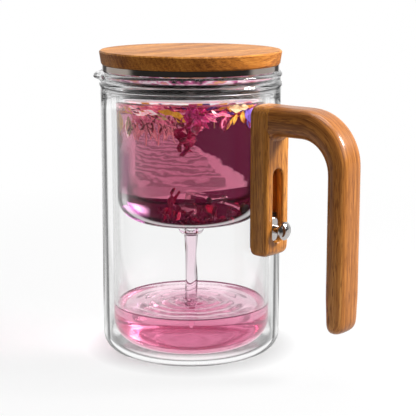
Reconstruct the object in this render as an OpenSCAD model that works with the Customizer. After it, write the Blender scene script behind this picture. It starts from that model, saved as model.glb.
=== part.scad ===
// Double-walled glass teapot with a hanging glass infuser, a magnetic drain valve worked by a
// slider in the wooden handle, and a lift-off wooden lid. Millimetres, +Z up, the handle along +X,
// the origin at the centre of the base.

/* [Jug outer wall] */
// Outside diameter of the jug
jug_d = 92; // [84:1:104]
// Thickness of the outer glass wall
jug_wall = 2.2; // [1.6:0.1:3]
// Thickness of the glass base
base_t = 2.4; // [1.8:0.1:4]
// Outside radius of the base corner
base_corner = 8; // [5:0.5:10]

/* [Jug liner] */
// Air gap between the outer wall and the liner
air_gap = 3.2; // [2.4:0.1:4.5]
// Air gap between the base and the liner floor
base_gap = 1.2; // [0.8:0.1:3]
// Thickness of the liner wall
liner_wall = 1.8; // [1.4:0.1:2.6]
// Thickness of the liner floor
liner_floor = 2; // [1.6:0.1:3]
// Outside radius of the liner's bottom corner
liner_corner = 13; // [8:0.5:16]

/* [Jug mouth] */
// Height of the ledge that carries the infuser
ledge_z = 138.6; // [130:0.2:150]
// Thickness of the fused shoulder under the ledge
shoulder_t = 3.1; // [2.6:0.1:4]
// Thickness of the collar wall above the ledge
collar_wall = 2.5; // [2:0.1:3]
// Height of the rolled rim's centre above the ledge
collar_h = 4.5; // [4:0.1:8]
// Radius of the rolled rim
rim_r = 1.7; // [1.3:0.1:2]
// Radius of the shoulder bead
bead_r = 2; // [1.6:0.1:2.4]
// How far the rim and the bead stand out past the wall
ring_out = 0.5; // [0.2:0.1:1]
// Direction of the pouring beak, from the handle
beak_az = -135; // [-180:5:-90]
// Reach of the beak past the wall
beak_reach = 3.4; // [2:0.2:6]
// Radius of the beak's lip, seen from above
beak_r = 15; // [12:0.5:20]
// Wall of the beak
beak_wall = 1.6; // [1.2:0.1:2]

/* [Infuser] */
// Gap between the infuser and the liner
infuser_gap = 0.8; // [0.5:0.1:2]
// Thickness of the infuser wall
infuser_wall = 1.9; // [1.5:0.1:2.5]
// Thickness of the infuser floor
infuser_floor = 2; // [1.6:0.1:3]
// Outside radius of the infuser's bottom corner
infuser_corner = 13; // [11:0.5:16]
// Depth from the ledge to the infuser's underside
infuser_depth = 70.6; // [55:0.2:90]
// Thickness of the infuser's hanging flange
flange_t = 2.4; // [1.8:0.1:2.8]
// Gap between the flange and the collar
flange_gap = 0.6; // [0.4:0.1:1]
// Width of the pouring notch in the flange
pour_notch_w = 14; // [8:1:20]
// Length of the drain nozzle under the floor
nozzle_l = 9; // [6:0.5:14]
// Nozzle radius at the floor
nozzle_top_r = 7.4; // [7:0.1:9]
// Nozzle radius at the tip
nozzle_tip_r = 3.6; // [3.4:0.1:4.5]
// Radius of the drain
drain_r = 2.6; // [2:0.1:2.8]

/* [Drain valve] */
// Radius of the grommet's neck in the drain
grommet_r = 5.2; // [4.6:0.1:5.4]
// How deep the grommet's neck reaches into the floor
grommet_depth = 3.9; // [3:0.1:5]
// Radius of the grommet's flange
grommet_flange_r = 8.6; // [7.5:0.1:9.5]
// Thickness of the grommet's flange
grommet_flange_t = 1.2; // [0.8:0.1:1.6]
// Thickness of the strainer disc
strainer_t = 0.5; // [0.4:0.1:0.8]
// Radius of each hole in the strainer
strainer_hole_r = 0.55; // [0.3:0.05:0.6]
// Thickness of the bracket's sheet
bracket_t = 0.9; // [0.6:0.1:1.2]
// Distance of the rocker's pin from the drain
pivot_x = 14; // [13:0.5:17]
// Height of the rocker's pin above the infuser floor
pivot_h = 11; // [10:0.5:13]
// Radius of the rocker's pin
pin_r = 0.8; // [0.6:0.05:1.2]
// Width of the rocker arm
arm_w = 4.4; // [3.5:0.1:5.5]
// Thickness of the rocker arm
rocker_t = 1.2; // [1:0.1:1.8]
// Radius of the valve plug
plug_r = 4.2; // [3.6:0.1:5]
// Thickness of the valve plug's sealing disc
plug_t = 1.7; // [1.2:0.1:2.5]
// Radius of the follower magnet
follower_r = 2.4; // [1.8:0.1:2.6]
// Thickness of the follower magnet
follower_t = 1.7; // [1.2:0.1:2]
// Tilt of the rocker when the drain is open
open_deg = 10; // [6:1:11]

/* [Lid] */
// Diameter of the wooden lid at its top
lid_top_d = 92.8; // [80:0.2:104]
// Diameter of the wooden lid at its bottom
lid_bottom_d = 91; // [80:0.2:104]
// Thickness of the wooden lid
lid_t = 7.1; // [5:0.1:14]
// Bevel on the lid's edges
lid_bevel = 0.7; // [0.3:0.1:1.5]
// How far the steel band under the wood stands inside the jug's wall
band_inset = 1; // [0.6:0.1:1.6]
// Height of the steel band
band_h = 2.8; // [2:0.1:6]
// Thickness of the steel sheet in the band and the plug
sheet_t = 0.8; // [0.6:0.1:1.2]
// Gap between the steel band and the jug's rim
rim_clear = 0.4; // [0.3:0.1:1]
// Gap between the lid's plug and the infuser's wall
lid_plug_gap = 1.5; // [1.2:0.1:2.5]
// Depth of the plug below the infuser's flange
lid_plug_depth = 7.8; // [5:0.2:14]
// Corner radius at the foot of the plug
lid_plug_corner = 1.5; // [1.2:0.1:3]
// Gap between the plug's upper drum and the collar
drum_gap = 1.9; // [1:0.1:3]
// Thickness of the seal's lip
seal_t = 1.2; // [0.8:0.1:1.6]
// How deep the seal's sleeve reaches into the infuser
seal_depth = 2.4; // [1.5:0.1:4]
// Number of lid screws
lid_screw_count = 3; // [3:1:6]
// Distance of the lid screws from the axis
lid_screw_r = 22; // [14:1:28]
// Radius of a lid screw's shank
screw_r = 1.5; // [1.2:0.1:2]
// Radius of a lid screw's head
screw_head_r = 2.8; // [2.2:0.1:3.5]
// Height of a lid screw's head
screw_head_t = 1.5; // [1:0.1:2]
// Depth of the lid screws in the wood
screw_depth = 4; // [3:0.1:4.5]

/* [Handle] */
// Width of the handle
handle_w = 18.4; // [17:0.2:20]
// Thickness of the handle block in front of its bond
block_t = 10; // [9.6:0.1:13]
// Height of the top of the handle
handle_top_z = 131; // [124:0.5:133]
// Height of the handle block
block_h = 75; // [68:0.5:90]
// Radius of the block's upright front edges
block_edge_r = 1.8; // [1:0.2:4]
// Radius of the block's bottom corners
block_corner_r = 4; // [2:0.2:5]
// Thickness of the bond between the handle and the glass
bond_t = 0.5; // [0.3:0.1:1]
// Margin of the bond inside the block's edges
bond_margin = 1.4; // [0.8:0.1:2.5]
// Thickness of the arm
arm_t = 14.5; // [13:0.1:17]
// Thickness of the grip, less than the arm's
grip_t = 11; // [10.6:0.1:12.8]
// Rounding of the arm's and the grip's long edges
grip_edge_r = 5.2; // [3:0.1:5.3]
// Radius of the fillet between the block and the arm's underside
arm_fillet_r = 5; // [3:0.5:7]
// Gap for the fingers between the block and the grip
finger_gap = 33.2; // [28:0.2:42]
// Inside radius of the handle's bend
bend_inner_r = 15.5; // [10:0.5:20]
// Drop from the top of the handle to the grip's end
grip_drop = 107.5; // [85:0.5:120]
// Rounding of the grip's end on its outer side
end_outer_r = 7; // [4:0.5:7]
// Rounding of the grip's end on its inner side
end_inner_r = 3.5; // [2:0.5:4]
// Rounding of the grip's end on its flanks
end_flank_r = 6; // [3:0.5:8]
// Radius of the dowels in the arm's joint
dowel_r = 2; // [1.5:0.1:2.2]
// Length of the dowels
dowel_l = 16; // [12:1:18]
// Spacing of the dowels
dowel_spacing = 6.8; // [5.6:0.2:7.4]

/* [Slider] */
// Width of the slot
slot_w = 7.9; // [7:0.1:8.4]
// Length of the slot
slot_l = 37.2; // [31:0.1:42]
// Height of the slot's lower end above the block's bottom
slot_up = 6.8; // [6:0.1:9]
// Thickness of wood in front of the slider's channel
front_wall = 4.4; // [4:0.1:4.8]
// Width of the channel behind the slot
channel_w = 11; // [10.4:0.1:11.6]
// Thickness of the strip that backs the channel
backing_t = 1.7; // [1.6:0.1:1.9]
// Length of the shuttle in the slot
shuttle_l = 12.8; // [11:0.1:14]
// Depth of the shuttle's face below the block's front
shuttle_recess = 1.8; // [1:0.1:2.4]
// Rounding of the shuttle's face edge
shuttle_edge_r = 1; // [0.5:0.1:1.4]
// Extra length of the shoe past the shuttle
shoe_extra = 2.2; // [1:0.1:3]
// Radius of the knob's cap
knob_r = 4.6; // [4:0.1:6]
// Thickness of the knob's cap
knob_t = 3.3; // [2.6:0.1:4]
// Height of the knob's domed face
knob_dome = 2.1; // [0.8:0.1:2.2]
// Radius of the knob's neck
knob_neck_r = 2.1; // [1.6:0.1:2.5]
// Gap between the knob's cap and the block's front
knob_gap = 3.2; // [1.6:0.1:3.6]
// Radius of the knob's stud
stud_r = 1.5; // [1.2:0.1:1.6]
// Radius of the slider's magnet
magnet_r = 3.4; // [2.6:0.1:3.8]
// Thickness of the slider's magnet
magnet_t = 1.9; // [1.4:0.1:2]

/* [Clearances] */
// Gap under a part that rests and lifts off
seat_gap = 0.1; // [0.05:0.05:0.3]
// Gap on each side of the slider
slide_gap = 0.3; // [0.2:0.05:0.4]
// Radial clearance of a turning pin
running_gap = 0.05; // [0.02:0.01:0.1]
// Gap of a glued or pressed joint
joint_gap = 0.02; // [0.01:0.01:0.05]
// Gap between the closed valve plug and its seat
valve_gap = 0.15; // [0.1:0.05:0.3]

/* [Hidden] */

$fn = 96;
// A cut runs this far past the face that it opens
over = 1;

// Jug: radii and heights from the outside in
jug_r = jug_d / 2;
jug_inner_r = jug_r - jug_wall;
liner_or = jug_inner_r - air_gap;
liner_ir = liner_or - liner_wall;
liner_z = base_t + base_gap;
liner_floor_z = liner_z + liner_floor;
seam_z = ledge_z - shoulder_t;
collar_ir = jug_r - collar_wall;
rim_z = ledge_z + collar_h;
rim_top_z = rim_z + rim_r;
ring_r = jug_r + ring_out;

// Beak: a wide cone pulled out of the collar, with a hollow of the same slope
collar_r = jug_r - ring_out / 2;
beak_c = jug_r + beak_reach - beak_r;
beak_foot_r = collar_r - beak_c;
beak_top_z = rim_z + rim_r / 2;
beak_h = beak_top_z - ledge_z;

// Infuser: hangs by its flange on the ledge
infuser_or = liner_ir - infuser_gap;
infuser_ir = infuser_or - infuser_wall;
flange_z = ledge_z + seat_gap;
flange_r = collar_ir - flange_gap;
flange_top_z = flange_z + flange_t;
infuser_z = flange_z - infuser_depth;
floor_z = infuser_z + infuser_floor;
nozzle_z = infuser_z - nozzle_l;
strainer_z = floor_z - grommet_depth - strainer_t;
drain_seat_r = grommet_r + joint_gap;

// Rocker: its pin, and the heights of the pieces that it swings
pivot_z = floor_z + pivot_h;
seat_z = floor_z + bracket_t + grommet_flange_t;
hub_r = pin_r + rocker_t;
hub_w = arm_w + rocker_t;
ear_gap = hub_w + 2 * slide_gap;
ear_r = hub_r + bracket_t;
ring_plate_r = grommet_flange_r + 2 * bracket_t;
pin_l = ear_gap + 4 * bracket_t;
pin_head_r = 2 * pin_r;
follower_wall = 0.45;
holder_size = 2 * (follower_r + follower_wall);
holder_t = follower_t + 2 * follower_wall;
holder_end_x = infuser_ir - infuser_corner / 4.5;
strainer_ring_r = drain_r - strainer_hole_r - strainer_t / 4;
strainer_holes = 6;

// Lid: rests by its seal on the infuser's flange
band_r = jug_r - band_inset;
band_z = rim_top_z + rim_clear;
lid_z = band_z + band_h;
lid_plug_r = infuser_ir - lid_plug_gap;
lid_plug_z = flange_top_z - lid_plug_depth;
seal_z = flange_top_z + seat_gap;
drum_z = seal_z + seal_t;
drum_r = collar_ir - drum_gap;
drum_top_z = lid_z - sheet_t;
seal_ir = lid_plug_r + joint_gap;
seal_or = infuser_ir - seat_gap * 2;

// Handle: block against the glass, arm, bend and grip
bond_r = jug_r + bond_t;
block_front = bond_r + block_t;
block_z = handle_top_z - block_h;
arm_mid_z = handle_top_z - arm_t / 2;
arm_under_z = handle_top_z - arm_t;
fillet_sink = arm_fillet_r / 12;
grip_inner_x = block_front + finger_gap;
grip_x = grip_inner_x + grip_t / 2;
grip_z = handle_top_z - grip_drop;

// Bend: its inner and outer faces turn about two centres, one above the other, so that it thins downwards
bend_outer_r = bend_inner_r + grip_t;
bend_x = grip_inner_x - bend_inner_r;
bend_outer_z = handle_top_z - bend_outer_r;
bend_inner_z = arm_under_z - bend_inner_r;

// Slider: shuttle in the slot, shoe and magnet in the channel behind it
slot_z = block_z + slot_up;
shuttle_w = slot_w - 2 * slide_gap;
knob_z = slot_z + slide_gap + shuttle_l / 2;
slider_travel = slot_l - shuttle_l - 2 * slide_gap;
channel_front = block_front - front_wall;
channel_back = bond_r + backing_t;
shoe_l = shuttle_l + shoe_extra;
shoe_w = channel_w - 2 * slide_gap;
channel_z = knob_z - shoe_l / 2 - slide_gap;
channel_h = shoe_l + slider_travel + 2 * slide_gap;
shoe_front = channel_front - slide_gap;
shoe_back = channel_back + slide_gap;
shuttle_face = block_front - shuttle_recess;
knob_x = block_front + knob_gap;
stud_end_x = shoe_front - (shoe_front - shoe_back - magnet_t) / 2;

// Half profile of a body with a rounded bottom corner, standing on z
module round_foot(r, z, top, corner) {
    translate([0, z])
        square([r - corner, top - z]);
    translate([0, z + corner])
        square([r, top - z - corner]);
    translate([r - corner, z + corner])
        intersection() {
            circle(corner);
            translate([0, -corner])
                square(corner);
        }
}

// Rectangle about the origin with four round corners
module rounded_rect(w, h, r) {
    square([w - 2 * r, h], center = true);
    square([w, h - 2 * r], center = true);
    for (sx = [-1, 1])
        for (sy = [-1, 1])
            translate([sx * (w / 2 - r), sy * (h / 2 - r)])
                circle(r);
}

// Slot outline about its lower end: width along x, length along y
module obround(w, l) {
    translate([-w / 2, w / 2])
        square([w, l - w]);
    translate([0, w / 2])
        circle(w / 2);
    translate([0, l - w / 2])
        circle(w / 2);
}

// Extrudes an outline drawn in the YZ plane along +X
module along_x(x, l) {
    translate([x, 0, 0])
        rotate([90, 0, 90])
            linear_extrude(l)
                children();
}

// Extrudes an outline drawn in the XZ plane across Y, centred
module across_y(w) {
    rotate([90, 0, 0])
        linear_extrude(w, center = true)
            children();
}

// Upright cylinder along +X
module rod_x(x, l, r) {
    translate([x, 0, 0])
        rotate([0, 90, 0])
            cylinder(h = l, r = r);
}

// Turns and shifts a shape to the beak's direction
module at_beak(r, z) {
    rotate([0, 0, beak_az])
        translate([r, 0, z])
            children();
}

// Tilts the rocker's pieces about its pin from closed to open
module rocked() {
    translate([pivot_x, 0, pivot_z])
        rotate([0, open_deg, 0])
            translate([-pivot_x, 0, -pivot_z])
                children();
}

module jug_outer_wall() {
    color([0.93, 0.95, 0.96, 0.35])
        rotate_extrude()
            difference() {
                round_foot(jug_r, 0, seam_z, base_corner);
                round_foot(jug_inner_r, base_t, seam_z + over, base_corner - jug_wall);
            }
}

// Half profile of the liner, its shoulder, the collar and the two rings
module liner_profile() {
    difference() {
        union() {
            round_foot(liner_or, liner_z, ledge_z, liner_corner);
            translate([liner_ir, seam_z])
                square([jug_r - liner_ir, shoulder_t]);
            translate([collar_ir, seam_z])
                square([collar_r - collar_ir, rim_z - seam_z]);
            translate([ring_r - bead_r, ledge_z - bead_r / 4])
                circle(bead_r);
            translate([ring_r - rim_r, rim_z])
                circle(rim_r);
        }
        round_foot(liner_ir, liner_floor_z, rim_top_z + over, liner_corner - liner_wall);
        translate([0, ledge_z])
            square([collar_ir, collar_h + rim_r + over]);
        translate([liner_or + air_gap / 2, seam_z])
            circle(air_gap / 2);
    }
}

// Outside of the beak, with a rounded lip
module beak_shell() {
    at_beak(beak_c, ledge_z)
        cylinder(h = beak_h, r1 = beak_foot_r, r2 = beak_r);
    at_beak(beak_c, beak_top_z)
        rotate_extrude()
            translate([beak_r - beak_wall / 2, 0])
                circle(beak_wall / 2);
}

// Inside of the beak, open at the top through the rim
module beak_hollow() {
    at_beak(beak_c, ledge_z)
        cylinder(h = beak_h, r1 = beak_foot_r - beak_wall, r2 = beak_r - beak_wall);
    at_beak(beak_c, beak_top_z)
        cylinder(h = rim_r + over, r = beak_r - beak_wall);
}

module jug_liner() {
    color([0.93, 0.95, 0.96, 0.35])
        difference() {
            union() {
                rotate_extrude()
                    liner_profile();
                difference() {
                    beak_shell();
                    translate([0, 0, ledge_z - over])
                        cylinder(h = beak_h + rim_r + 2 * over, r = collar_ir);
                }
            }
            beak_hollow();
        }
}

// Strip as wide as the handle from x0 to x1, with its two corners at x1 rounded
module strip(x0, x1, r) {
    translate([x0, -handle_w / 2])
        square([x1 - x0 - r, handle_w]);
    translate([x0, -handle_w / 2 + r])
        square([x1 - x0, handle_w - 2 * r]);
    for (side = [-1, 1])
        translate([x1 - r, side * (handle_w / 2 - r)])
            circle(r);
}

// Rectangle with its two lower corners rounded by their own radii, top left square
module rounded_below(x0, x1, z0, z1, r0, r1) {
    translate([x0, z0 + r0])
        square([r0, z1 - z0 - r0]);
    translate([x0 + r0, z0])
        square([x1 - x0 - r0 - r1, z1 - z0]);
    translate([x1 - r1, z0 + r1])
        square([r1, z1 - z0 - r1]);
    translate([x0 + r0, z0 + r0])
        intersection() {
            circle(r0);
            translate([-r0, -r0])
                square(r0);
        }
    translate([x1 - r1, z0 + r1])
        intersection() {
            circle(r1);
            translate([0, -r1])
                square(r1);
        }
}

module dowel_pair(r, l) {
    for (side = [-1, 1])
        translate([0, side * dowel_spacing / 2, arm_mid_z])
            rod_x(block_front - l / 2, l, r);
}

module handle_block() {
    color([0.62, 0.39, 0.19])
        difference() {
            union() {
                intersection() {
                    translate([0, 0, block_z])
                        linear_extrude(arm_mid_z - block_z)
                            strip(jug_r / 2, block_front, block_edge_r);
                    along_x(jug_r / 2, block_front)
                        rounded_below(-handle_w / 2, handle_w / 2, block_z, handle_top_z,
                                      block_corner_r, block_corner_r);
                    across_y(handle_w + over)
                        rounded_below(jug_r / 2, block_front, block_z, handle_top_z,
                                      block_edge_r, block_corner_r);
                }
                along_x(jug_r / 2, block_front - jug_r / 2)
                    translate([0, arm_mid_z])
                        rounded_rect(handle_w, arm_t, grip_edge_r);
            }
            translate([0, 0, block_z - over])
                cylinder(h = block_h + 2 * over, r = bond_r);
            along_x(channel_front - over, front_wall + 2 * over)
                translate([0, slot_z])
                    obround(slot_w, slot_l);
            translate([jug_r / 2, -channel_w / 2, channel_z])
                cube([channel_front - jug_r / 2, channel_w, channel_h]);
            dowel_pair(dowel_r + joint_gap, dowel_l + 2 * slide_gap);
        }
}

module slot_backing() {
    color([0.66, 0.42, 0.2])
        difference() {
            translate([jug_r / 2, -channel_w / 2 + joint_gap, channel_z + joint_gap])
                cube([channel_back - jug_r / 2, channel_w - 2 * joint_gap, channel_h - 2 * joint_gap]);
            translate([0, 0, channel_z - over])
                cylinder(h = channel_h + 2 * over, r = bond_r);
        }
}

module bond_pad() {
    pad_w = handle_w - 2 * bond_margin;
    pad_h = block_h - 2 * block_corner_r;
    color([0.85, 0.84, 0.8])
        intersection() {
            translate([0, -pad_w / 2, block_z + block_corner_r])
                cube([block_front, pad_w, pad_h]);
            translate([0, 0, block_z])
                difference() {
                    cylinder(h = block_h, r = bond_r);
                    translate([0, 0, -over])
                        cylinder(h = block_h + 2 * over, r = jug_r);
                }
        }
}

// Elbow of the arm's section that blends its underside into the block's front
module arm_fillet() {
    intersection() {
        translate([block_front + arm_fillet_r - fillet_sink, 0, arm_under_z - arm_fillet_r])
            rotate([90, 0, 0])
                rotate([0, 0, 90])
                    rotate_extrude(angle = 90)
                        translate([arm_fillet_r + arm_t / 2, 0])
                            rounded_rect(arm_t, handle_w, grip_edge_r);
        translate([block_front, -handle_w / 2, arm_under_z - arm_fillet_r])
            cube([arm_fillet_r, handle_w, arm_fillet_r + arm_t]);
    }
}

// Bend as far out as its outer face, with the straight run below it
module bend_outside() {
    translate([bend_x, 0, bend_outer_z])
        rotate([90, 0, 0])
            rotate_extrude(angle = 90)
                strip(bend_inner_r / 2, bend_outer_r, grip_edge_r);
    translate([bend_x, 0, bend_inner_z])
        linear_extrude(bend_outer_z - bend_inner_z)
            strip(bend_inner_r / 2, bend_outer_r, grip_edge_r);
}

// Bend as far in as its inner face
module bend_inside() {
    translate([bend_x, 0, bend_inner_z])
        rotate([90, 0, 0])
            rotate_extrude(angle = 90)
                mirror([1, 0])
                    strip(-bend_outer_r - grip_t, -bend_inner_r, grip_edge_r);
}

module handle_grip() {
    color([0.64, 0.4, 0.2])
        difference() {
            union() {
                along_x(block_front, bend_x - block_front)
                    translate([0, arm_mid_z])
                        rounded_rect(handle_w, arm_t, grip_edge_r);
                arm_fillet();
                intersection() {
                    bend_outside();
                    bend_inside();
                }
                intersection() {
                    translate([grip_x, 0, grip_z])
                        linear_extrude(bend_inner_z - grip_z)
                            rounded_rect(grip_t, handle_w, grip_edge_r);
                    across_y(handle_w + over)
                        rounded_below(grip_inner_x, grip_inner_x + grip_t, grip_z, bend_inner_z,
                                      end_inner_r, end_outer_r);
                    along_x(grip_inner_x - over, grip_t + 2 * over)
                        rounded_below(-handle_w / 2, handle_w / 2, grip_z, bend_inner_z,
                                      end_flank_r, end_flank_r);
                }
            }
            dowel_pair(dowel_r + joint_gap, dowel_l + 2 * slide_gap);
        }
}

module handle_dowels() {
    color([0.7, 0.5, 0.3])
        dowel_pair(dowel_r, dowel_l);
}

// Cap with a domed face, a straight side and a soft back edge, drawn as a half profile along +Y
module knob_cap() {
    dome_r = (knob_r * knob_r + knob_dome * knob_dome) / (2 * knob_dome);
    edge = knob_t - knob_dome;
    back_r = edge / 3;
    translate([0, back_r])
        square([knob_r, edge - back_r]);
    square([knob_r - back_r, edge]);
    translate([knob_r - back_r, back_r])
        circle(back_r);
    intersection() {
        translate([0, knob_t - dome_r])
            circle(dome_r);
        translate([0, edge])
            square([knob_r, knob_dome]);
    }
}

module slider_knob() {
    color([0.8, 0.8, 0.82])
        translate([0, 0, knob_z]) {
            translate([knob_x, 0, 0])
                rotate([0, 90, 0])
                    rotate_extrude()
                        knob_cap();
            rod_x(shuttle_face, knob_x - shuttle_face, knob_neck_r);
            rod_x(stud_end_x, shuttle_face - stud_end_x, stud_r);
        }
}

module slider_shuttle() {
    body_l = shuttle_face - shuttle_edge_r - shoe_front;
    color([0.78, 0.78, 0.8])
        difference() {
            union() {
                along_x(shoe_front, body_l)
                    translate([0, knob_z - shuttle_l / 2])
                        obround(shuttle_w, shuttle_l);
                for (end = [-1, 1])
                    translate([shoe_front + body_l, 0, knob_z + end * (shuttle_l - shuttle_w) / 2])
                        rotate([0, 90, 0])
                            rotate_extrude()
                                shuttle_edge();
                for (side = [0, 1])
                    mirror([0, side, 0])
                        translate([shoe_front + body_l, 0, knob_z])
                            mirror([1, -1, 0])
                                linear_extrude(shuttle_l - shuttle_w, center = true)
                                    shuttle_edge();
            }
            translate([0, 0, knob_z])
                rod_x(shoe_front - over, shuttle_face - shoe_front + 2 * over, stud_r + joint_gap);
        }
}

// Quarter-round edge of the shuttle's face, as a half profile
module shuttle_edge() {
    square([shuttle_w / 2 - shuttle_edge_r, shuttle_edge_r]);
    translate([shuttle_w / 2 - shuttle_edge_r, 0])
        intersection() {
            circle(shuttle_edge_r);
            square(shuttle_edge_r);
        }
}

module slider_shoe() {
    color([0.2, 0.2, 0.21])
        difference() {
            translate([shoe_back, -shoe_w / 2, knob_z - shoe_l / 2])
                cube([shoe_front - shoe_back, shoe_w, shoe_l]);
            translate([0, 0, knob_z]) {
                rod_x(shoe_back - over, magnet_t + over, magnet_r + joint_gap);
                rod_x(stud_end_x - joint_gap, shoe_front - stud_end_x + over, stud_r + joint_gap);
            }
        }
}

module slider_magnet() {
    color([0.16, 0.16, 0.17])
        translate([0, 0, knob_z])
            rod_x(shoe_back, magnet_t - joint_gap, magnet_r);
}

module infuser_glass() {
    color([0.93, 0.95, 0.96, 0.35])
        difference() {
            rotate_extrude()
                difference() {
                    union() {
                        round_foot(infuser_or, infuser_z, flange_top_z, infuser_corner);
                        translate([infuser_ir, flange_z])
                            square([flange_r - infuser_ir - flange_t / 2, flange_t]);
                        translate([flange_r - flange_t / 2, flange_z + flange_t / 2])
                            circle(flange_t / 2);
                        polygon([[0, nozzle_z], [nozzle_tip_r, nozzle_z],
                                 [nozzle_top_r, infuser_z], [nozzle_top_r, floor_z], [0, floor_z]]);
                    }
                    round_foot(infuser_ir, floor_z, flange_top_z + over,
                               infuser_corner - infuser_wall);
                    translate([0, nozzle_z - over])
                        square([drain_r, floor_z - nozzle_z]);
                    translate([0, strainer_z])
                        square([drain_seat_r, floor_z - strainer_z + over]);
                }
            at_beak(infuser_or + infuser_gap, flange_z - over)
                translate([0, -pour_notch_w / 2, 0])
                    cube([flange_r, pour_notch_w, flange_t + 2 * over]);
        }
}

module drain_strainer() {
    color([0.75, 0.75, 0.77])
        translate([0, 0, strainer_z])
            difference() {
                cylinder(h = strainer_t, r = grommet_r);
                translate([0, 0, -over]) {
                    cylinder(h = strainer_t + 2 * over, r = strainer_hole_r);
                    for (k = [0 : strainer_holes - 1])
                        rotate([0, 0, k * 360 / strainer_holes])
                            translate([strainer_ring_r, 0, 0])
                                cylinder(h = strainer_t + 2 * over, r = strainer_hole_r);
                }
            }
}

module drain_grommet() {
    color([0.85, 0.85, 0.84])
        rotate_extrude()
            translate([drain_r, strainer_z + strainer_t]) {
                square([grommet_r - drain_r, seat_z - strainer_z - strainer_t]);
                translate([0, seat_z - grommet_flange_t - strainer_z - strainer_t])
                    square([grommet_flange_r - drain_r, grommet_flange_t]);
            }
}

module rocker_bracket() {
    tongue_w = ear_gap + 2 * bracket_t;
    color([0.86, 0.87, 0.88, 0.5])
        difference() {
            union() {
                translate([0, 0, floor_z])
                    cylinder(h = bracket_t, r = ring_plate_r);
                translate([0, -tongue_w / 2, floor_z])
                    cube([pivot_x + ear_r, tongue_w, bracket_t]);
                for (side = [-1, 1])
                    translate([0, side * (ear_gap + bracket_t) / 2, 0])
                        across_y(bracket_t) {
                            translate([pivot_x - ear_r, floor_z])
                                square([2 * ear_r, pivot_z - floor_z]);
                            translate([pivot_x, pivot_z])
                                circle(ear_r);
                        }
            }
            translate([0, 0, floor_z - over])
                cylinder(h = bracket_t + 2 * over, r = drain_seat_r);
            translate([pivot_x, 0, 0])
                across_y(tongue_w + 2 * over)
                    translate([0, pivot_z])
                        circle(pin_r + joint_gap);
        }
}

module rocker_pin() {
    head_t = bracket_t / 2;
    color([0.8, 0.8, 0.82])
        translate([pivot_x, 0, 0]) {
            across_y(pin_l)
                translate([0, pivot_z])
                    circle(pin_r);
            for (side = [-1, 1])
                translate([0, side * (ear_gap / 2 + bracket_t + joint_gap + head_t / 2), 0])
                    across_y(head_t)
                        translate([0, pivot_z])
                            circle(pin_head_r);
        }
}

module rocker_arm() {
    tail_x = -plug_r / 2;
    color([0.86, 0.87, 0.88, 0.5])
        rocked()
            difference() {
                union() {
                    translate([tail_x, -arm_w / 2, pivot_z - rocker_t / 2])
                        cube([holder_end_x - holder_t - tail_x + joint_gap, arm_w, rocker_t]);
                    translate([pivot_x, 0, 0])
                        across_y(hub_w)
                            translate([0, pivot_z])
                                circle(hub_r);
                    translate([holder_end_x - holder_t, -holder_size / 2, pivot_z - holder_size / 2])
                        cube([holder_t, holder_size, holder_size]);
                }
                translate([pivot_x, 0, 0])
                    across_y(hub_w + 2 * over)
                        translate([0, pivot_z])
                            circle(pin_r + running_gap);
                translate([0, 0, pivot_z])
                    rod_x(holder_end_x - follower_t, follower_t + over, follower_r + joint_gap);
            }
}

module valve_plug() {
    stem_top = pivot_z - rocker_t / 2;
    disc_z = seat_z + valve_gap;
    color([0.82, 0.82, 0.8])
        rocked() {
            translate([0, 0, disc_z])
                cylinder(h = plug_t, r = plug_r);
            translate([0, 0, disc_z])
                cylinder(h = stem_top - disc_z, r = plug_r / 2);
        }
}

module follower_magnet() {
    color([0.16, 0.16, 0.17])
        rocked()
            translate([0, 0, pivot_z])
                rod_x(holder_end_x - follower_t + joint_gap, follower_t - joint_gap, follower_r);
}

module lid_wood() {
    top_r = lid_top_d / 2;
    bottom_r = lid_bottom_d / 2;
    color([0.68, 0.44, 0.21])
        difference() {
            translate([0, 0, lid_z])
                rotate_extrude()
                    polygon([[0, 0], [bottom_r - lid_bevel, 0], [bottom_r, lid_bevel],
                             [top_r, lid_t - lid_bevel], [top_r - lid_bevel, lid_t], [0, lid_t]]);
            lid_screw_ring(lid_z - over, screw_depth + over + slide_gap, screw_r + joint_gap);
        }
}

module lid_band() {
    color([0.77, 0.77, 0.79])
        difference() {
            translate([0, 0, band_z])
                cylinder(h = band_h, r = band_r);
            translate([0, 0, band_z - over])
                cylinder(h = band_h - sheet_t + over, r = band_r - sheet_t);
            lid_screw_ring(drum_top_z - over, sheet_t + 2 * over, screw_r + joint_gap);
        }
}

module lid_plug() {
    color([0.45, 0.45, 0.47])
        rotate_extrude()
            difference() {
                union() {
                    round_foot(lid_plug_r, lid_plug_z, drum_z + sheet_t, lid_plug_corner);
                    translate([0, drum_z])
                        square([drum_r, drum_top_z - drum_z]);
                }
                round_foot(lid_plug_r - sheet_t, lid_plug_z + sheet_t, drum_z + sheet_t + over,
                           lid_plug_corner - sheet_t);
                translate([0, drum_z + sheet_t])
                    square([drum_r - sheet_t, drum_top_z - drum_z]);
            }
}

module lid_seal() {
    color([0.8, 0.8, 0.78])
        rotate_extrude()
            translate([seal_ir, flange_top_z - seal_depth]) {
                square([seal_or - seal_ir, drum_z - flange_top_z + seal_depth]);
                translate([0, seal_z - flange_top_z + seal_depth])
                    square([drum_r - seal_ir, seal_t]);
            }
}

// Ring of upright screw shanks or holes
module lid_screw_ring(z, l, r) {
    for (k = [0 : lid_screw_count - 1])
        rotate([0, 0, k * 360 / lid_screw_count])
            translate([lid_screw_r, 0, z])
                cylinder(h = l, r = r);
}

module lid_screws() {
    color([0.7, 0.7, 0.72]) {
        lid_screw_ring(drum_top_z - screw_head_t, screw_head_t, screw_head_r);
        lid_screw_ring(drum_top_z - screw_head_t, screw_head_t + sheet_t + screw_depth, screw_r);
    }
}

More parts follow.
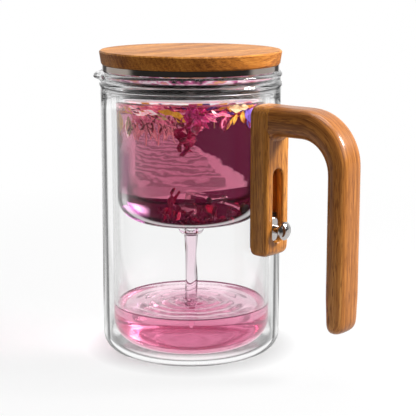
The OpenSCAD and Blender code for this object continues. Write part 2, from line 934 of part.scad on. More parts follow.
jug_outer_wall();
jug_liner();
handle_block();
slot_backing();
handle_grip();
handle_dowels();
bond_pad();
slider_knob();
slider_shuttle();
slider_shoe();
slider_magnet();
infuser_glass();
drain_strainer();
drain_grommet();
rocker_bracket();
rocker_pin();
rocker_arm();
valve_plug();
follower_magnet();
lid_wood();
lid_band();
lid_plug();
lid_seal();
lid_screws();
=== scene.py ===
"""Looks of a double-walled glass teapot with an infuser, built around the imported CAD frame.

The frame is in metres. Sizes below are millimetres and are turned into metres where a mesh is made.
Each fused or blown glass body is one turned mesh in place of its CAD nodes, so that light bends only
where glass meets air. The handle's block and grip are copies of their CAD meshes with softer edges. The
contents (infusion, petals, falling stream, pool) are made here alone. All other pieces keep their CAD
meshes and get their materials here.
"""
import random
from math import cos, exp, hypot, pi, radians, sin, sqrt

import bmesh
import bpy
import numpy
from mathutils import Matrix, Vector, noise


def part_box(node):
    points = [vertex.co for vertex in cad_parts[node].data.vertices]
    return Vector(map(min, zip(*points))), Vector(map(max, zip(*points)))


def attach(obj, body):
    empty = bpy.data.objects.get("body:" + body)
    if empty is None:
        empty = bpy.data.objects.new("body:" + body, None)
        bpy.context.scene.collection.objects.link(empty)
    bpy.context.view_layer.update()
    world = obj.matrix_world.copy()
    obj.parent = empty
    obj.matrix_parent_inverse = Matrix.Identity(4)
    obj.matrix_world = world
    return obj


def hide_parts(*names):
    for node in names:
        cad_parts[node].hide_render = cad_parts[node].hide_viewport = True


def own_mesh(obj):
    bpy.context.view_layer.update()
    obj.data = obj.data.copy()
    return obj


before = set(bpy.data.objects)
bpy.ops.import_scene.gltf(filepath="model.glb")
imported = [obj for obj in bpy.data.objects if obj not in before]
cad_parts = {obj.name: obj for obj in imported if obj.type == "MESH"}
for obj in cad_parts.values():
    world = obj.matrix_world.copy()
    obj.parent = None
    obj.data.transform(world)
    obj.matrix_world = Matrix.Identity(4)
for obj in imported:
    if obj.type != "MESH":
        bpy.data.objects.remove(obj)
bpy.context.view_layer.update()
MM = 0.001

# Jug glass: sizes of part.scad, repeated because that file isn't there when this one runs
JUG_R = 46.0
JUG_WALL = 2.2
BASE_T = 2.4
BASE_CORNER = 8.0
BASE_KICK = 0.8
LINER_R = 40.6
LINER_WALL = 1.8
LINER_UNDER_Z = 3.6
LINER_FLOOR_Z = 5.6
LINER_CORNER = 13.0
SEAM_Z = 135.5
LEDGE_Z = 138.6
COLLAR_IN_R = 43.5
COLLAR_Z = (142.6, 141.4, 139.6)
BEAD = (44.5, 138.1, 2.0)
RIM = (44.8, 143.1, 1.7)

# Pouring beak, a lip pulled out of the rim
BEAK_AZIMUTH = -135.0
BEAK_CENTRE = 34.4
BEAK_R = 15.0
BEAK_DROP = 0.85
BEAK_FOOT_Z = 139.4
BEAK_FULL_Z = 142.6

# Infuser glass
INF_R = 38.0
INF_WALL = 1.9
INF_UNDER_Z = 68.1
INF_FLOOR_Z = 70.1
INF_CORNER = 13.0
FLANGE_Z = (138.7, 141.1)
FLANGE_R = 42.9
DRUM_Z = 138.8
NOTCH_WIDTH = 14.0
NOTCH_R = 38.5
NOZZLE_TOP_R = 7.4
NOZZLE_TIP_R = 3.6
NOZZLE_TIP_Z = 59.1
NOZZLE_BOWL_Z = 60.0
DRAIN_R = 2.6
SEAT_R = 5.22
SEAT_Z = 65.7

# Contents
SOAK = 0.15
TEA_Z = 131.0
POOL_Z = 23.8
MENISCUS_R = 37.5
STREAM_TOP_Z = 63.0
STREAM_END_Z = 11.0
PETAL_R = 35.6

# Handle: the joint's plane, and the bend for the run of its grain
JOINT_X = 56.5
ARM_FILLET_Z = 109.0
SLOT_HALF = 4.1
BEND_X = 74.2
BEND_Z = 102.75
BEND_R = 21.0

# Faces round a turned piece
SPIN = 240

# Camera, as the photograph is framed
CAMERA_AZIMUTH = -49.0
CAMERA_REACH = 662.0
CAMERA_HEIGHT = 206.0
CAMERA_PITCH = 11.35
CAMERA_YAW = 0.76
CAMERA_LENS = 112.5
SENSOR = 36.0

CAMERA_TURN = radians(CAMERA_AZIMUTH)
TOWARD = Vector((cos(CAMERA_TURN), sin(CAMERA_TURN), 0))
RIGHT = Vector((-TOWARD.y, TOWARD.x, 0))
UP = Vector((0, 0, 1))


def seen_at(across, near, height):
    """A point by how far it is right of the axis, towards the camera, and up."""
    return RIGHT * across + TOWARD * near + UP * height


def tone(red, green, blue):
    """A colour as it looks on a screen, 0 to 255, as the linear colour that a shader takes."""
    linear = []
    for value in (red, green, blue):
        share = value / 255
        linear.append(share / 12.92 if share <= 0.04045 else ((share + 0.055) / 1.055) ** 2.4)
    return (*linear, 1.0)


def grey(level):
    return (level, level, level, 1.0)


class Wire:
    """A number that a material works out, on one node's socket. Sums of wires are maths nodes."""

    def __init__(self, graph, socket):
        self.graph = graph
        self.socket = socket

    def __add__(self, other):
        return self.graph.math("ADD", self, other)

    def __sub__(self, other):
        return self.graph.math("SUBTRACT", self, other)

    def __rsub__(self, other):
        return self.graph.math("SUBTRACT", other, self)

    def __mul__(self, other):
        return self.graph.math("MULTIPLY", self, other)

    def __truediv__(self, other):
        return self.graph.math("DIVIDE", self, other)

    def __abs__(self):
        return self.graph.math("ABSOLUTE", self)

    def at_least(self, limit):
        return self.graph.math("MAXIMUM", self, limit)

    def at_most(self, limit):
        return self.graph.math("MINIMUM", self, limit)

    def spread(self, low, high, to_low, to_high):
        """From low to high, as to_low to to_high."""
        return self.graph.wire("MapRange", {0: self, 1: low, 2: high, 3: to_low, 4: to_high})

    def rise(self, low, high):
        """0 up to low, and 1 from high on."""
        return self.spread(low, high, 0.0, 1.0)

    def fall(self, low, high):
        """1 up to low, and 0 from high on."""
        return self.spread(low, high, 1.0, 0.0)

    def band(self, low, high, soft):
        """1 between low and high, 0 outside, with edges as wide as soft."""
        edge = soft / 2
        return self.rise(low - edge, low + edge) * self.fall(high - edge, high + edge)


class Graph:
    """A material's or the world's node tree. A wire or a socket is linked to an input, any other value is
    set on it."""

    def __init__(self, name, world=None):
        self.material = world or bpy.data.materials.new(name)
        self.material.use_nodes = True
        self.tree = self.material.node_tree
        self.tree.nodes.clear()
        self.output = self.add("OutputWorld" if world else "OutputMaterial")

    def add(self, kind, inputs=None, **settings):
        made = self.tree.nodes.new("ShaderNode" + kind)
        for key, value in settings.items():
            setattr(made, key, value)
        for key, value in (inputs or {}).items():
            source = value.socket if isinstance(value, Wire) else value
            if isinstance(source, bpy.types.NodeSocket):
                self.tree.links.new(source, made.inputs[key])
            else:
                made.inputs[key].default_value = source
        return made

    def take(self, kind, inputs=None, output=0, **settings):
        """One output of a new node."""
        return self.add(kind, inputs, **settings).outputs[output]

    def wire(self, kind, inputs, output=0, **settings):
        """The same, where it is a number."""
        return Wire(self, self.take(kind, inputs, output, **settings))

    def math(self, operation, first, second=0.0):
        return self.wire("Math", {0: first, 1: second}, operation=operation)

    def reach(self, first, second):
        """How far it is by two lengths that are square to each other."""
        return self.math("SQRT", first * first + second * second)

    def facing(self):
        """How the skin is looked at: 0 straight on, 1 edge on."""
        return self.wire("LayerWeight", {"Blend": 0.5}, "Facing")

    def place(self):
        """The point on the piece in its own frame, in millimetres."""
        here = self.take("TexCoord", output="Object")
        return self.scaled(here, (1 / MM, 1 / MM, 1 / MM))

    def scaled(self, vector, factors):
        return self.take("VectorMath", {0: vector, 1: factors}, operation="MULTIPLY")

    def dot(self, first, second):
        return self.wire("VectorMath", {0: first, 1: second}, "Value", operation="DOT_PRODUCT")

    def split(self, vector):
        made = self.add("SeparateXYZ", {0: vector})
        return [Wire(self, socket) for socket in made.outputs]

    def join(self, x, y, z):
        return self.take("CombineXYZ", {0: x, 1: y, 2: z})

    def noise(self, vector, factors, detail, rough=0.5):
        """Noise from 0 to 1. factors say how fast it changes along each axis."""
        inputs = {"Vector": self.scaled(vector, factors), "Scale": 1.0, "Detail": detail, "Roughness": rough}
        return self.wire("TexNoise", inputs, "Fac")

    def stripes(self, vector, scale, distortion, detail_scale, axis="X"):
        """Wavering stripes from 0 to 1, which follow one another along axis."""
        inputs = {"Vector": vector, "Scale": scale, "Distortion": distortion, "Detail": 2.0,
                  "Detail Scale": detail_scale}
        return self.wire("TexWave", inputs, "Fac", bands_direction=axis)

    def ramp(self, value, *stops):
        made = self.add("ValToRGB", {0: value})
        ends = made.color_ramp.elements
        while len(ends) < len(stops):
            ends.new(0.5)
        for end, (place, colour) in zip(ends, stops):
            end.position = place
            end.color = colour
        return made.outputs["Color"]

    def levels(self, value, stops):
        """A ramp of greys."""
        return self.ramp(value, *[(place, grey(level)) for place, level in stops])

    def mix(self, share, first, second, blend="MIX"):
        inputs = {0: share, 6: first, 7: second}
        return self.take("Mix", inputs, 2, data_type="RGBA", blend_type=blend)

    def bump(self, height, strength, distance_mm):
        inputs = {"Height": height, "Strength": strength, "Distance": distance_mm * MM}
        return self.take("Bump", inputs)

    def surface(self, shader):
        self.tree.links.new(shader, self.output.inputs["Surface"])

    def glow(self, kind, colour, strength):
        return self.take(kind, {"Color": colour, "Strength": strength})

    def blend(self, share, first, second):
        """The first shader, or the second where share is 1."""
        return self.take("MixShader", {0: share, 1: first, 2: second})

    def by_ray(self, rays, lighting, mirrored, through, shown):
        """Four shaders: as a light, for metal to mirror, through glass and liquid, and for the camera."""
        mixed = self.blend(rays["Is Glossy Ray"], lighting, mirrored)
        mixed = self.blend(rays["Is Transmission Ray"], mixed, through)
        self.surface(self.blend(rays["Is Camera Ray"], mixed, shown))

    def principled(self, **inputs):
        named = {key.replace("_", " "): value for key, value in inputs.items()}
        shader = self.take("BsdfPrincipled", named)
        self.surface(shader)
        return shader

    def lit_through(self, shader):
        """Glass or liquid that lets the lamps through to what is inside it."""
        shadow = self.take("LightPath", output="Is Shadow Ray")
        clear = self.take("BsdfTransparent")
        self.surface(self.blend(shadow, shader, clear))

    def absorb(self, colour, density):
        soak = self.add("VolumeAbsorption", {"Color": colour, "Density": density})
        self.tree.links.new(soak.outputs[0], self.output.inputs["Volume"])


def shaded(level, mask, depth):
    """level, darkened by depth where mask is 1."""
    return (1.0 - mask * depth) * level


# Materials

FULL_SHINE = grey(1.0)
INNER_SHINE = grey(0.04)
GLASS_BODY = ((0.30, 0.32, 0.33, 1), 5.0)
GLASS_WAVE = 0.02
FOOT_FADE = 8.0
LINING_HALF = 0.35

# Painted shade lines in the glass, and a painted highlight band at the foot: how nearly edge on its skin is
# looked at, and how light the line is there
JUG_PAINTED_EDGE = ((0.64, 1.0), (0.67, 0.02), (0.72, 0.03), (0.76, 0.45), (0.83, 0.90), (0.91, 1.0))
INFUSER_PAINTED_EDGE = ((0.71, 1.0), (0.74, 0.30), (0.79, 0.60), (0.83, 0.75), (0.90, 0.90), (0.98, 1.0))
FOOT_PAINTED_EDGE = ((0.46, 1.0), (0.54, 0.08), (0.70, 0.08), (0.80, 0.8))
LINING_PAINTED_EDGE = ((0.17, 1.0), (0.22, 0.12), (0.262, 0.12), (0.28, 1.0),
               (0.60, 1.0), (0.66, 0.12), (0.70, 0.12), (0.76, 1.0))
PAINTED_GLINT_BAND = ((0.48, 0.0), (0.56, 1.0), (0.64, 1.0), (0.70, 0.0))


def glass_material(name, foot_r, corner_z, skin, inner, skin_shine, bare_z, painted_outline, painted_glint, painted_foot_line=None):
    """Clear glass, with painted shade: grey lines where it is looked at nearly edge on. The body's foot is
    rounded about a circle of radius foot_r at corner_z. The skin lies further than skin from that circle,
    and has the painted shade lines outline and, under the foot, painted_foot_line. The foot's inner face
    lies at inner from it, and has a painted shade line too. glint is how white the foot's edge glows, a
    painted highlight. Inner faces shine less than they would, so that four or more of them in a row stay as
    clear as they look, but below bare_z each face shines in full."""
    g = Graph(name)
    here = g.place()
    wave = g.noise(here, (0.03, 0.03, 0.012), 1.0)
    x, y, z = g.split(here)
    out = (g.reach(x, y) - foot_r).at_least(0.0)
    down = (z - corner_z).at_most(0.0)
    reach = g.reach(out, down)
    low = z.fall(corner_z, corner_z + FOOT_FADE)
    lining = low * reach.band(inner - LINING_HALF, inner + LINING_HALF, 0.2)
    outer = reach.rise(skin - 0.3, skin)
    bare = z.spread(SEAM_Z - 1.0, SEAM_Z + 1.0, 0.0, 0.12).at_least(z.fall(bare_z - 0.5, bare_z + 0.5))
    lined = outer * z.spread(SEAM_Z - 2.0, SEAM_Z + 1.0, 1.0, 0.3)
    facing = g.facing()
    # Painted shade: grey lines where the skin is looked at nearly edge on.
    line = g.levels(facing, painted_outline)
    if painted_foot_line:
        under = down * -1.0 / reach.at_least(0.01)
        line = g.mix(under.rise(0.62, 0.80), line, g.levels(facing, painted_foot_line))
    line = g.mix(lined, grey(1.0), line)
    shine = g.mix(outer, INNER_SHINE, g.mix(1.0, skin_shine, line, "MULTIPLY"))
    # Painted highlight: the foot's edge glows white.
    white = g.mix(outer * low, grey(0.0), g.levels(facing, PAINTED_GLINT_BAND))
    g.lit_through(g.principled(
        Base_Color=g.mix(lining, line, g.levels(facing, LINING_PAINTED_EDGE)), Roughness=0.0, IOR=1.47,
        Transmission_Weight=1.0, Specular_Tint=g.mix(bare, shine, FULL_SHINE), Emission_Color=white,
        Emission_Strength=painted_glint, Normal=g.bump(wave, GLASS_WAVE, 1.0)))
    g.absorb(*GLASS_BODY)
    return g.material


LIQUID_WAVE = 0.05
# Painted shade at the tea's edges below the petals
TEA_RIM_Z = TEA_Z - 16.0
TEA_RIM_FADE = 12.0
TEA_RIM_FACING = (0.19, 0.60, 0.04)
TEA_RIM_PAINTED_SHADE = (0.22, 0.07, 0.22, 1)
# Painted shadow, shade and dark reflection on the pool
POOL_SIDE_FACING = (0.55, 0.86, 0.12)
PAINTED_RING_SHADOW = (0.30, 0.11, 0.17, 1)
PAINTED_SIDE_SHADE = (0.60, 0.22, 0.36, 1)
PAINTED_MENISCUS_SHADE = (0.14, 0.03, 0.07, 1)
PAINTED_DARK_REFLECTION = (0.14, 0.11, 0.12, 1)


def liquid_material(name, colour, density, skin=None, cloud=0.0):
    """Clear coloured liquid. skin(g, here, wave) gives its skin's tint, with any painted shade, and shine
    where they change over it, and cloud is the strength of a faint painted glow that lightens it."""
    g = Graph(name)
    here = g.place()
    wave = g.noise(here, (0.12, 0.12, 0.12), 2.0)
    tint, shine = skin(g, here, wave) if skin else (grey(1.0), INNER_SHINE)
    g.lit_through(g.principled(
        Base_Color=tint, Roughness=0.0, IOR=1.33, Transmission_Weight=1.0, Specular_Tint=shine,
        Emission_Color=colour, Emission_Strength=cloud, Normal=g.bump(wave, LIQUID_WAVE, 1.0)))
    g.absorb(colour, density)
    return g.material


def tea_skin(g, here, wave):
    """The infusion has painted shade: a deeper tint below the petals, where its skin is looked at nearly
    edge on.
    """
    below = g.split(here)[2].fall(TEA_RIM_Z - TEA_RIM_FADE, TEA_RIM_Z)
    return g.mix(below * g.facing().band(*TEA_RIM_FACING), grey(1.0), TEA_RIM_PAINTED_SHADE), INNER_SHINE


def pool_skin(g, here, wave):
    """The pool's top is free, and shines. Its floor has painted shadows of the rings on the top, its side
    is painted a deeper tint as painted shade, it has a painted dark line where it climbs the wall, and a
    painted dark reflection around the stream's foot."""
    x, y, z = g.split(here)
    r = g.reach(x, y)
    top = z.rise(POOL_Z - 1.5, POOL_Z - 1.2)
    # Painted shadow of the surface rings on the pool's floor
    rings = g.math("SINE", r * 1.15 + wave * 5.0).rise(-0.2, 0.8) * r.fall(6.0, 24.0)
    rings = rings * z.fall(LINER_FLOOR_Z + 0.5, LINER_FLOOR_Z + 1.0)
    # Painted shade where the side is seen nearly edge on
    side = z.fall(POOL_Z - 0.6, POOL_Z - 0.2) * g.facing().band(*POOL_SIDE_FACING)
    # Painted dark line where the pool climbs the wall
    climb = z.rise(POOL_Z + 0.15, POOL_Z + 0.3) * r.rise(MENISCUS_R - 0.4, MENISCUS_R)
    # Painted reflection: a dark patch round the stream's foot
    dark_reflection = g.noise(here, (0.20, 0.20, 0.20), 3.0).spread(0.36, 0.62, 0.3, 1.0) * r.fall(11.0, 21.0) * top
    tint = grey(1.0)
    for mask, deep in ((rings, PAINTED_RING_SHADOW), (side, PAINTED_SIDE_SHADE), (climb, PAINTED_MENISCUS_SHADE), (dark_reflection, PAINTED_DARK_REFLECTION)):
        tint = g.mix(mask, tint, deep)
    return tint, g.mix(top, INNER_SHINE, FULL_SHINE)


WOOD_TONES = (tone(234, 166, 82), tone(196, 126, 52), tone(110, 58, 18))
BENT_TONES = (tone(218, 150, 76), tone(180, 112, 48), tone(104, 54, 18))
# Painted light: a lighter copy of the wood for the slot's floor
PAINTED_LIGHT_SLOT_TONES = (tone(255, 190, 90), tone(240, 160, 60), tone(190, 112, 34))
PAINTED_EDGE_SHADE = (0.80, 0.70, 0.56, 1)
# Painted light on the slot's walls
PAINTED_SLOT_LIGHT = (1.35, 1.35, 1.2, 1)
DRIFT_RUN = (0.09, 0.09, 0.006)
RING_RUN = (1.0, 0.35, 0.012)
FIBRE_RUN = (1.7, 1.7, 0.055)
PORE_RUN = (1.9, 1.9, 0.16)
WAVE_PERIOD = 0.314


def wood_material(name, grain, light, middle, dark, ring_pitch=2.6, ring_share=0.06, face_z=None, coat=0.4,
                  painted_light=None):
    """Oiled hardwood. grain(g, x, y, z) gives the ring's, the other cross and the long coordinate, in mm.
    Below face_z is a board's edge, painted darker and warmer as painted shade. raw(x, y) is 1 where the
    wood is painted lighter, as painted light."""
    g = Graph(name)
    x, y, z = g.split(g.place())
    run = grain(g, x, y, z)
    drift = g.noise(run, DRIFT_RUN, 2.0)
    rings = g.stripes(g.scaled(run, RING_RUN), WAVE_PERIOD / ring_pitch, 6.0, 0.5)
    fibre = g.noise(run, FIBRE_RUN, 5.0, 0.62)
    pores = g.noise(run, PORE_RUN, 2.0).rise(0.55, 0.66)
    depth = rings * ring_share + fibre * 0.62 + drift * (0.55 - 0.5 * ring_share)
    colour = g.ramp(depth, (0.40, light), (0.58, middle), (0.80, dark))
    colour = g.mix(pores * 0.6, colour, dark)
    # Painted shade: the board's edge below face_z is darker
    if face_z:
        edge = z.fall(face_z - 0.9, face_z - 0.5)
        colour = g.mix(edge, colour, g.mix(1.0, colour, PAINTED_EDGE_SHADE, "MULTIPLY"))
    # Painted light: the slot's walls are lighter
    if painted_light:
        colour = g.mix(painted_light(x, y), colour, g.mix(1.0, colour, PAINTED_SLOT_LIGHT, "MULTIPLY"))
    g.principled(Base_Color=colour, Roughness=fibre.spread(0.3, 0.7, 0.36, 0.5), Specular_IOR_Level=0.15,
                 Coat_Weight=coat, Coat_Roughness=0.15, Normal=g.bump(fibre * 0.4 - pores, 0.25, 0.06))
    return g.material


def in_slot(x, y):
    """1 on the walls of the slider's slot, where painted light makes the wood lighter."""
    return y.band(-SLOT_HALF, SLOT_HALF, 0.3) * x.fall(JOINT_X - 1.6, JOINT_X - 1.0)


def grain_up(g, x, y, z):
    """Rings across a board that stands upright."""
    return g.join(x * 0.5 + y * 0.86, x, z)


def grain_lid(g, x, y, z):
    """A flat-sawn board along Y, whose rings stand steep in its edge."""
    return g.join(x * 0.9 + z * 0.45, z, y)


def grain_bent(g, x, y, z):
    """Along the arm, round the bend and down the grip: how far from the bend's centre, and how far
    along."""
    out = (x - BEND_X).at_least(0.0)
    rise = (z - BEND_Z).at_least(0.0)
    turn = g.math("ARCTAN2", rise, out) * BEND_R
    before = (BEND_X - x).at_least(0.0)
    after = (BEND_Z - z).at_least(0.0)
    return g.join(g.reach(out, rise) * 0.55 + y * 0.83, y, turn + before - after)


def steel_material(name, colour, roughness, lines):
    """Turned or polished steel, with faint lines round the part: lines is how many to the millimetre."""
    g = Graph(name)
    here = g.place()
    brush = g.noise(here, (0.15, 0.15, lines), 3.0)
    cloud = g.noise(here, (0.08, 0.08, 0.08), 2.0)
    darker = tuple(0.82 * value for value in colour[:3]) + (1,)
    shade = g.ramp(brush * 0.6 + cloud * 0.4, (0.3, darker), (0.7, colour))
    rough = (brush + cloud).spread(0.7, 1.3, 0.7 * roughness, 1.4 * roughness)
    g.principled(Base_Color=shade, Metallic=1.0, Roughness=rough, Normal=g.bump(brush, 0.06, 0.05))
    return g.material


# Painted highlight on the plug's lip
PAINTED_LIP_HIGHLIGHT = tone(236, 226, 230)
PLUG_LIP_HEIGHT = 1.5
DRUM_BLUR = 0.3


def plug_material(name):
    """The plug's sheet: dark brushed steel below, with a painted reflection as a lighter upright bar and a
    painted highlight that glows on the lip, and above the flange a drum with a painted reflection of the
    petals."""
    g = Graph(name)
    here = g.place()
    x, y, z = g.split(here)
    # Painted reflection of the petals on the drum
    patch = g.noise(g.join(g.math("ARCTAN2", y, x), z, 0.0), (5.0, 0.55, 1.0), 3.0, 0.55)
    painted_petal_reflection = g.ramp(patch, (0.34, tone(30, 14, 20)), (0.43, tone(206, 92, 148)), (0.50, tone(250, 232, 240)),
                   (0.56, tone(224, 110, 160)), (0.62, tone(226, 158, 118)), (0.72, tone(70, 30, 40)))
    brush = g.noise(here, (0.15, 0.15, 9.0), 3.0)
    dark = g.ramp(brush, (0.3, tone(24, 20, 20)), (0.7, tone(54, 47, 46)))
    # Painted reflection: a lighter upright bar facing the camera
    dark = g.mix(g.dot(here, RIGHT).band(-1.6, 2.0, 0.5), dark, tone(92, 82, 80))
    lip_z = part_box("lid_plug")[0][2] / MM + PLUG_LIP_HEIGHT
    # Painted highlight on the lip, which also glows
    lip = z.fall(lip_z - DRUM_BLUR, lip_z + DRUM_BLUR)
    dark = g.mix(lip, dark, PAINTED_LIP_HIGHLIGHT)
    colour = g.mix(z.rise(DRUM_Z - DRUM_BLUR, DRUM_Z + DRUM_BLUR), dark, painted_petal_reflection)
    g.principled(Base_Color=colour, Metallic=z.spread(DRUM_Z - DRUM_BLUR, DRUM_Z + DRUM_BLUR, 1.0, 0.35),
                 Roughness=brush.spread(0.3, 0.7, 0.16, 0.3), Normal=g.bump(brush, 0.06, 0.05),
                 Emission_Color=g.mix(lip, grey(0.0), PAINTED_LIP_HIGHLIGHT), Emission_Strength=0.5)
    return g.material


def cast_material(name, run, detail, tones, rough, relief, **clear):
    """Moulded plastic or silicone, with a fine grain, a cloud or the drag of its mould. clear is what
    makes it clear. Where it always lies in the infusion, its IOR there is given against that."""
    g = Graph(name)
    grain = g.noise(g.place(), run, detail)
    shader = g.principled(Base_Color=g.ramp(grain, *tones), Roughness=grain.spread(0.3, 0.7, *rough),
                          Normal=g.bump(grain, *relief), **clear)
    if clear:
        g.lit_through(shader)
    return g.material


def petal_material(name, light, dark, glow):
    """A soaked petal or stem: mottled, with fine veins and a little light through it, and a painted
    glow that lightens it."""
    g = Graph(name)
    here = g.place()
    mottle = g.noise(here, (0.35, 0.35, 0.35), 4.0, 0.6)
    vein = g.noise(here, (1.4, 1.4, 0.25), 3.0)
    colour = g.ramp(mottle * 0.65 + vein * 0.35, (0.36, light), (0.64, dark))
    # Emission here is a painted glow
    g.principled(Base_Color=colour, Roughness=vein.spread(0.3, 0.7, 0.45, 0.65), Subsurface_Weight=0.25,
                 Subsurface_Scale=0.0015, Emission_Color=colour, Emission_Strength=glow,
                 Normal=g.bump(vein, 0.4, 0.2))
    return g.material


# Mesh helpers

SHARP_ANGLE = 48
SAND_VOXEL = 0.5
SAND_STRENGTH = 0.6


def arc(centre_r, centre_z, radius, start, end, steps):
    """Points of an arc in a turned profile. Angles are degrees, from outwards towards up."""
    points = []
    for k in range(steps + 1):
        turn = radians(start + (end - start) * k / steps)
        points.append((centre_r + radius * cos(turn), centre_z + radius * sin(turn)))
    return points


def polar(azimuth, r, z):
    """A point by its azimuth, in radians, its distance from the axis and its height."""
    return Vector((r * cos(azimuth), r * sin(azimuth), z))


def between(first, last, steps):
    """Points from first to last, without the two ends."""
    return [(first[0] + (last[0] - first[0]) * k / steps, first[1] + (last[1] - first[1]) * k / steps)
            for k in range(1, steps)]


def object_from(name, builder, material):
    """A piece from a bmesh in millimetres, smooth but for its sharp edges."""
    bmesh.ops.scale(builder, vec=(MM, MM, MM), verts=builder.verts)
    mesh = bpy.data.meshes.new(name)
    builder.to_mesh(mesh)
    builder.free()
    mesh.polygons.foreach_set("use_smooth", [True] * len(mesh.polygons))
    mesh.set_sharp_from_angle(angle=radians(SHARP_ANGLE))
    mesh.materials.append(material)
    piece = bpy.data.objects.new(name, mesh)
    bpy.context.scene.collection.objects.link(piece)
    return piece


def turn_shell(builder, profile, move=None):
    """Adds one closed turned shell. The profile is walked with the outside on its right, from the axis
    back to the axis or round a closed loop. move(azimuth, r, z) may give a point another r and z."""
    near_axis = 1e-6
    closed = profile[0][0] > near_axis
    rings = []
    for r, z in profile:
        if r <= near_axis:
            rings.append([builder.verts.new((0, 0, z))])
            continue
        ring = []
        for k in range(SPIN):
            azimuth = 2 * pi * k / SPIN
            far, high = move(azimuth, r, z) if move else (r, z)
            ring.append(builder.verts.new(polar(azimuth, far, high)))
        rings.append(ring)
    pairs = list(zip(rings, rings[1:]))
    if closed:
        pairs.append((rings[-1], rings[0]))
    for low, high in pairs:
        for k in range(SPIN):
            corners = [low[m % len(low)] for m in (k, k + 1)] + [high[m % len(high)] for m in (k + 1, k)]
            builder.faces.new(tuple(dict.fromkeys(corners)))


def turned(name, material, *shells):
    """A piece of one or more turned shells, each a profile and what moves its points, or None."""
    builder = bmesh.new()
    for profile, move in shells:
        turn_shell(builder, profile, move)
    return object_from(name, builder, material)


def smooth_step(value, low, high):
    share = min(max((value - low) / (high - low), 0.0), 1.0)
    return share * share * (3 - 2 * share)


def turn_from(azimuth, degrees):
    """How far an azimuth is from one given in degrees, in radians to either side."""
    return (azimuth - radians(degrees) + pi) % (2 * pi) - pi


def softened(name, node_name, material, passes, held):
    """A copy of a CAD piece with its edges sanded soft, in place of that piece. held(x, z), in mm, gives
    how freely each point may move, from 0 to 1."""
    piece = bpy.data.objects.new(name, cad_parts[node_name].data.copy())
    bpy.context.scene.collection.objects.link(piece)
    even = piece.modifiers.new("even", "REMESH")
    even.mode = "VOXEL"
    even.voxel_size = SAND_VOXEL * MM
    builder = bmesh.new()
    builder.from_mesh(piece.evaluated_get(bpy.context.evaluated_depsgraph_get()).to_mesh())
    bpy.data.objects.remove(piece)
    builder.verts.ensure_lookup_table()
    points = numpy.array([vert.co / MM for vert in builder.verts])
    ends = numpy.array([[vert.index for vert in edge.verts] for edge in builder.edges])
    starts = numpy.concatenate((ends[:, 0], ends[:, 1]))
    others = numpy.concatenate((ends[:, 1], ends[:, 0]))
    links = numpy.bincount(starts)
    free = numpy.array([held(x, z) for x, _, z in points])
    for _ in range(passes):
        for axis in range(3):
            mean = numpy.bincount(starts, weights=points[others, axis]) / links
            points[:, axis] += SAND_STRENGTH * free * (mean - points[:, axis])
    for vert, point in zip(builder.verts, points):
        vert.co = point
    return object_from(name, builder, material)


# Glass

def pull_beak(azimuth, r, z):
    """Moves the rim outwards over the beak's lip, which is an arc of a circle seen from above."""
    away = turn_from(azimuth, BEAK_AZIMUTH)
    inside = BEAK_R ** 2 - (BEAK_CENTRE * sin(away)) ** 2
    if inside <= 0 or cos(away) < 0:
        return r, z
    lip = BEAK_CENTRE * cos(away) + sqrt(inside)
    full = BEAK_CENTRE + BEAK_R - RIM[0] - RIM[2]
    pull = max(lip - RIM[0] - RIM[2], 0.0)
    share = smooth_step(z, BEAK_FOOT_Z, BEAK_FULL_Z) if r > COLLAR_IN_R - 1 else 0.0
    return r + pull * share, z - BEAK_DROP * share * pull / full


def jug_profile():
    """The outside of the fused double-walled jug, from under its base over the rim to its inner floor."""
    floor_r = LINER_R - LINER_CORNER
    inner_r = LINER_R - LINER_WALL
    inner_corner = inner_r - floor_r
    foot = JUG_R - BASE_CORNER
    under = [(foot * k / 10, BASE_KICK * (1 - smooth_step(k / 10, 0.55, 0.97))) for k in range(11)]
    walls = arc(foot, BASE_CORNER, BASE_CORNER, -90, 0, 12)[1:]
    walls += between((JUG_R, BASE_CORNER), (JUG_R, BEAD[1] - 1.4), 12)
    walls += arc(*BEAD, -41.4, 51.3, 10)
    walls += arc(*RIM, -56, 139.9, 16)
    walls += [(COLLAR_IN_R, z) for z in COLLAR_Z] + [(COLLAR_IN_R - 0.3, LEDGE_Z + 0.3)]
    walls += [(COLLAR_IN_R - 1.0, LEDGE_Z), (inner_r + 1.2, LEDGE_Z)]
    walls += arc(inner_r + 1.0, LEDGE_Z - 1.0, 1.0, 90, 180, 5)
    walls += between((inner_r, LEDGE_Z - 1.0), (inner_r, LINER_FLOOR_Z + inner_corner), 12)
    walls += arc(floor_r, LINER_FLOOR_Z + inner_corner, inner_corner, 0, -90, 12)
    return under + walls + [(floor_r * k / 6, LINER_FLOOR_Z) for k in range(5, -1, -1)]


def jug_air_profile():
    """The closed air space between the two walls."""
    floor_r = LINER_R - LINER_CORNER
    outer_r = JUG_R - JUG_WALL
    outer_corner = BASE_CORNER - JUG_WALL
    middle = (LINER_R + outer_r) / 2
    points = [(floor_r * k / 6, LINER_UNDER_Z) for k in range(7)]
    points += arc(floor_r, LINER_UNDER_Z + LINER_CORNER, LINER_CORNER, -90, 0, 12)[1:]
    points += between((LINER_R, LINER_UNDER_Z + LINER_CORNER), (LINER_R, SEAM_Z), 12)
    points += arc(middle, SEAM_Z, outer_r - middle, 180, 0, 12)
    points += between((outer_r, SEAM_Z), (outer_r, BASE_T + outer_corner), 12)
    points += arc(outer_r - outer_corner, BASE_T + outer_corner, outer_corner, 0, -90, 10)
    flat = outer_r - outer_corner
    return points + [(flat * k / 6, BASE_T) for k in range(5, -1, -1)]


